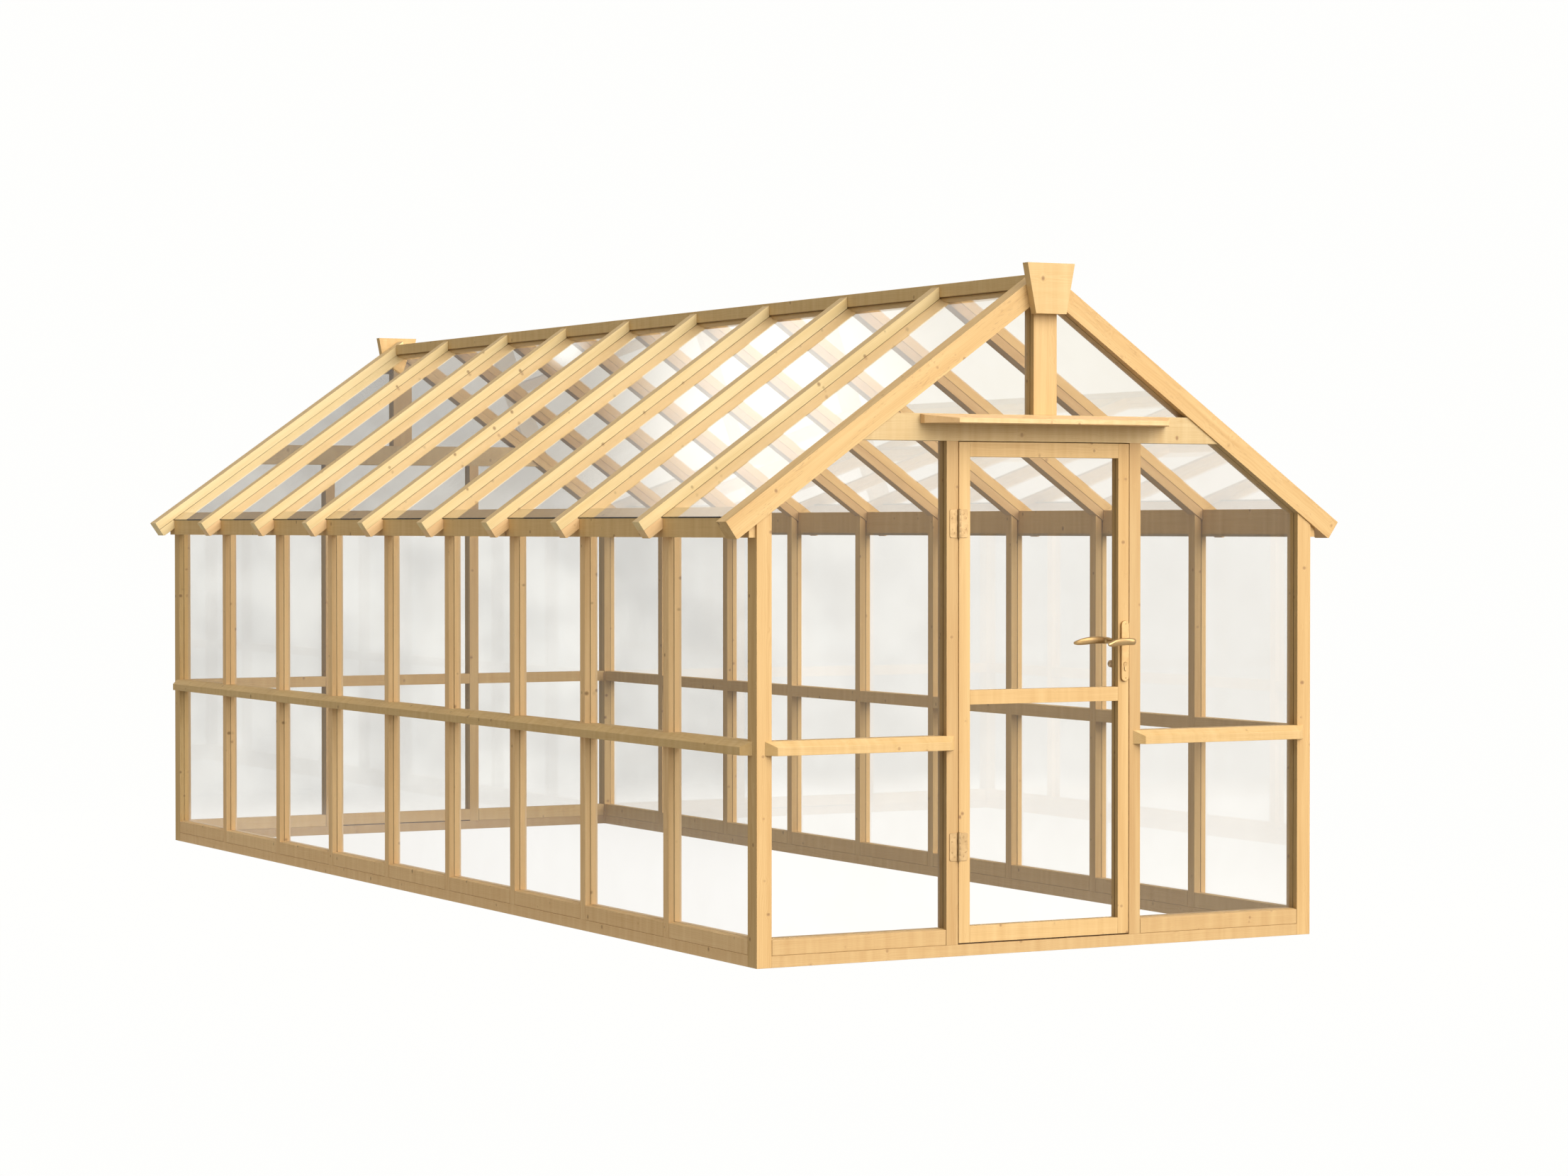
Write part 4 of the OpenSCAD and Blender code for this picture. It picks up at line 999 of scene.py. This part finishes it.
def dress_screws():
    tree = screw_tree()
    pin = joint_at["door_swing"]
    lock_x, front, _ = joint_at["lever_turn"]
    half_door = DOOR_THICKNESS / 2
    sets = {}
    for node, side in (("frame_hinge_screws", -1), ("door_hinge_screws", 1)):
        sets[node] = HINGE_SCREW, [
            ((pin.x + side * x * MM, front - HINGE_FACE, height + z * MM), (0, -1, 0))
            for height in HINGE_HEIGHTS for x, z in HINGE_SCREWS
        ]
    sets["plate_screws"] = PLATE_SCREW, [
        ((lock_x, front + half_door + out * (half_door + PLATE_FACE), z), (0, out, 0))
        for z in PLATE_SCREW_HEIGHTS for out in (-1, 1)
    ]
    for number, (node, (sizes, spots)) in enumerate(sets.items()):
        screw = slotted_screw(*sizes)
        piece = grown(
            node + "_finished", tree, [place for place, _ in spots],
            facing=[way for _, way in spots], Screw=screw, Seed=FIRST_SCREW_SEED + number,
            Finish=finish_for(node),
        )
        bpy.data.objects.remove(screw)
        hand_over(piece, node)


# Floor, light and camera

def pale_floor():
    """A round floor that fades into the backdrop."""
    mesh = bmesh.new()
    bmesh.ops.create_circle(mesh, cap_ends=True, radius=FLOOR_RADIUS, segments=FLOOR_SIDES)
    bmesh.ops.translate(mesh, verts=mesh.verts, vec=(0, 0, -FLOOR_DROP))
    data = bpy.data.meshes.new("floor")
    mesh.to_mesh(data)
    mesh.free()
    material, tree, end = bare_material("pale_floor")
    place = wired(tree, "ShaderNodeTexCoord").outputs["Object"]
    beside = vector_calc(tree, "ABSOLUTE", place)
    beside = vector_calc(tree, "SUBTRACT", beside, HOUSE_HALF)
    beside = vector_calc(tree, "MAXIMUM", beside, (0.0, 0.0, 0.0))
    away = vector_calc(tree, "LENGTH", beside)
    fade = eased(tree, away, *FLOOR_FADES)
    path = wired(tree, "ShaderNodeLightPath").outputs
    across = wired(tree, "ShaderNodeSeparateXYZ", {0: place}).outputs["X"]
    on_the_left = eased(tree, across, *LEFT_OF_HOUSE)
    mirrored = tinted(tree, on_the_left, FLOOR_MIRRORED, LEFT_MIRRORED)
    colour = tinted(tree, path["Is Camera Ray"], GROUND_TO_WOOD, FLOOR_SEEN)
    colour = tinted(tree, path["Is Glossy Ray"], colour, mirrored)
    colour = tinted(tree, path["Is Transmission Ray"], colour, FLOOR_THROUGH_PANES)
    lit = wired(tree, "ShaderNodeEmission", {"Color": colour})
    gone = tree.nodes.new("ShaderNodeBsdfTransparent")
    both = wired(tree, "ShaderNodeMixShader", {0: fade, 1: lit.outputs[0], 2: gone.outputs[0]})
    tree.links.new(both.outputs[0], end.inputs["Surface"])
    data.materials.append(material)
    floor = link(bpy.data.objects.new("floor", data))


def heading_vector(heading, height):
    """The direction at that many degrees from +Y towards +X, and above the horizon."""
    flat = math.cos(math.radians(height))
    return Vector((
        math.sin(math.radians(heading)) * flat,
        math.cos(math.radians(heading)) * flat,
        math.sin(math.radians(height)),
    ))


def overcast_world():
    """A white studio to the eye, and soft cloud to everything that mirrors it or shines through."""
    world = bpy.data.worlds.new("overcast")
    world.use_nodes = True
    scene.world = world
    tree = world.node_tree
    tree.nodes.clear()
    towards = wired(tree, "ShaderNodeTexCoord").outputs["Generated"]
    towards = vector_calc(tree, "NORMALIZE", towards)
    height = wired(tree, "ShaderNodeSeparateXYZ", {0: towards}).outputs["Z"]
    level = vector_calc(tree, "NORMALIZE", vector_calc(tree, "MULTIPLY", towards, (1.0, 1.0, 0.0)))
    level = wired(tree, "ShaderNodeSeparateXYZ", {0: level}).outputs
    rightward, forward = level["X"], level["Y"]

    # cloud in layers, each with other colours to the right: low down, haze, bank, high sky
    broad = clouded(tree, towards, scale=11.0).outputs["Fac"]
    broad = eased(tree, broad, 0.34, 0.66)
    small = clouded(tree, towards, scale=46.0).outputs["Fac"]
    small = eased(tree, small, 0.3, 0.7)
    low = tinted(tree, small, *LOW_CLOUD)
    low = tinted(tree, eased(tree, rightward, *LOW_TO_RIGHT), low, LOW_RIGHT)
    haze = tinted(tree, broad, *HAZE)
    haze = tinted(tree, eased(tree, rightward, *HAZE_TO_RIGHT), haze, HAZE_RIGHT)
    haze = tinted(tree, eased(tree, rightward, *HAZE_TO_FAR_RIGHT), haze, HAZE_FAR_RIGHT)
    bank = tinted(tree, broad, *BANK)
    above = tinted(tree, eased(tree, height, *HAZE_TO_BANK), haze, bank)
    above = tinted(tree, eased(tree, height, *BANK_TO_HIGH), above, HIGH_SKY)
    sky = tinted(tree, eased(tree, height, *LOW_TO_HAZE), low, above)

    def quarter(across, along):
        """One quarter of the horizon, with edges of these widths."""
        return calc(
            tree, "MULTIPLY", eased(tree, rightward, 0.0, across), eased(tree, forward, 0.0, along)
        )

    # what the left wall mirrors behind it on the left, and the sky out from the door end
    low_down = eased(tree, height, 0.25, 0.15)
    behind_left = calc(tree, "MULTIPLY", quarter(-0.15, 0.3), low_down)
    sky = tinted(tree, behind_left, sky, LEFT_MIRRORED)
    sky = tinted(tree, quarter(0.15, -0.3), sky, OUT_FROM_DOOR)
    for heading, rise, reach, gain in OPENINGS:
        off = vector_calc(tree, "SUBTRACT", towards, heading_vector(heading, rise))
        off = vector_calc(tree, "LENGTH", off)
        share = eased(tree, off, reach, 0.2 * reach, 0.0, gain)
        glow = wired(
            tree, "ShaderNodeVectorMath", {0: OPENING_COLOUR, "Scale": share}, operation="SCALE"
        ).outputs[0]
        sky = vector_calc(tree, "ADD", sky, glow)
    cloudy = wired(tree, "ShaderNodeBackground", {"Color": sky, "Strength": 1.0})

    # even light for the wood
    risen = eased(tree, height, 0.0, 0.8)
    soft = tinted(tree, risen, LOW_SKY_TO_WOOD, HIGH_SKY_TO_WOOD)
    ambient = wired(tree, "ShaderNodeBackground", {"Color": soft, "Strength": 1.0})
    path = wired(tree, "ShaderNodeLightPath").outputs
    mirrored = calc(tree, "MAXIMUM", path["Is Glossy Ray"], path["Is Transmission Ray"])
    lit = wired(
        tree, "ShaderNodeMixShader", {0: mirrored, 1: ambient.outputs[0], 2: cloudy.outputs[0]}
    )
    white = wired(
        tree, "ShaderNodeBackground", {"Color": opaque(STUDIO_WHITE), "Strength": 1.0}
    )
    both = wired(
        tree, "ShaderNodeMixShader",
        {0: path["Is Camera Ray"], 1: lit.outputs[0], 2: white.outputs[0]},
    )
    end = tree.nodes.new("ShaderNodeOutputWorld")
    tree.links.new(both.outputs[0], end.inputs["Surface"])


def soft_sun():
    lamp = bpy.data.lights.new("soft_sun", "SUN")
    lamp.energy = SUN_STRENGTH
    lamp.angle = math.radians(SUN_SPREAD)
    lamp.color = SUN_COLOUR
    lamp.cycles.use_multiple_importance_sampling = False
    sun = link(bpy.data.objects.new("soft_sun", lamp))
    sun.rotation_euler = SUN_FROM.to_track_quat("Z", "Y").to_euler()


def eye():
    lens = bpy.data.cameras.new("eye")
    lens.lens = CAMERA_LENS
    lens.sensor_width = SENSOR_W
    lens.sensor_fit = "HORIZONTAL"
    lens.clip_end = 200
    camera = link(bpy.data.objects.new("eye", lens))
    camera.location = CAMERA_AT
    camera.rotation_euler = (math.radians(90 - CAMERA_DIP), 0, math.radians(-CAMERA_HEADING))
    scene.camera = camera


dress_boards()
dress_rows()
glaze()
dress_fittings()
dress_levers()
dress_screws()
pale_floor()
overcast_world()
soft_sun()
eye()
scene.view_settings.view_transform = "Standard"
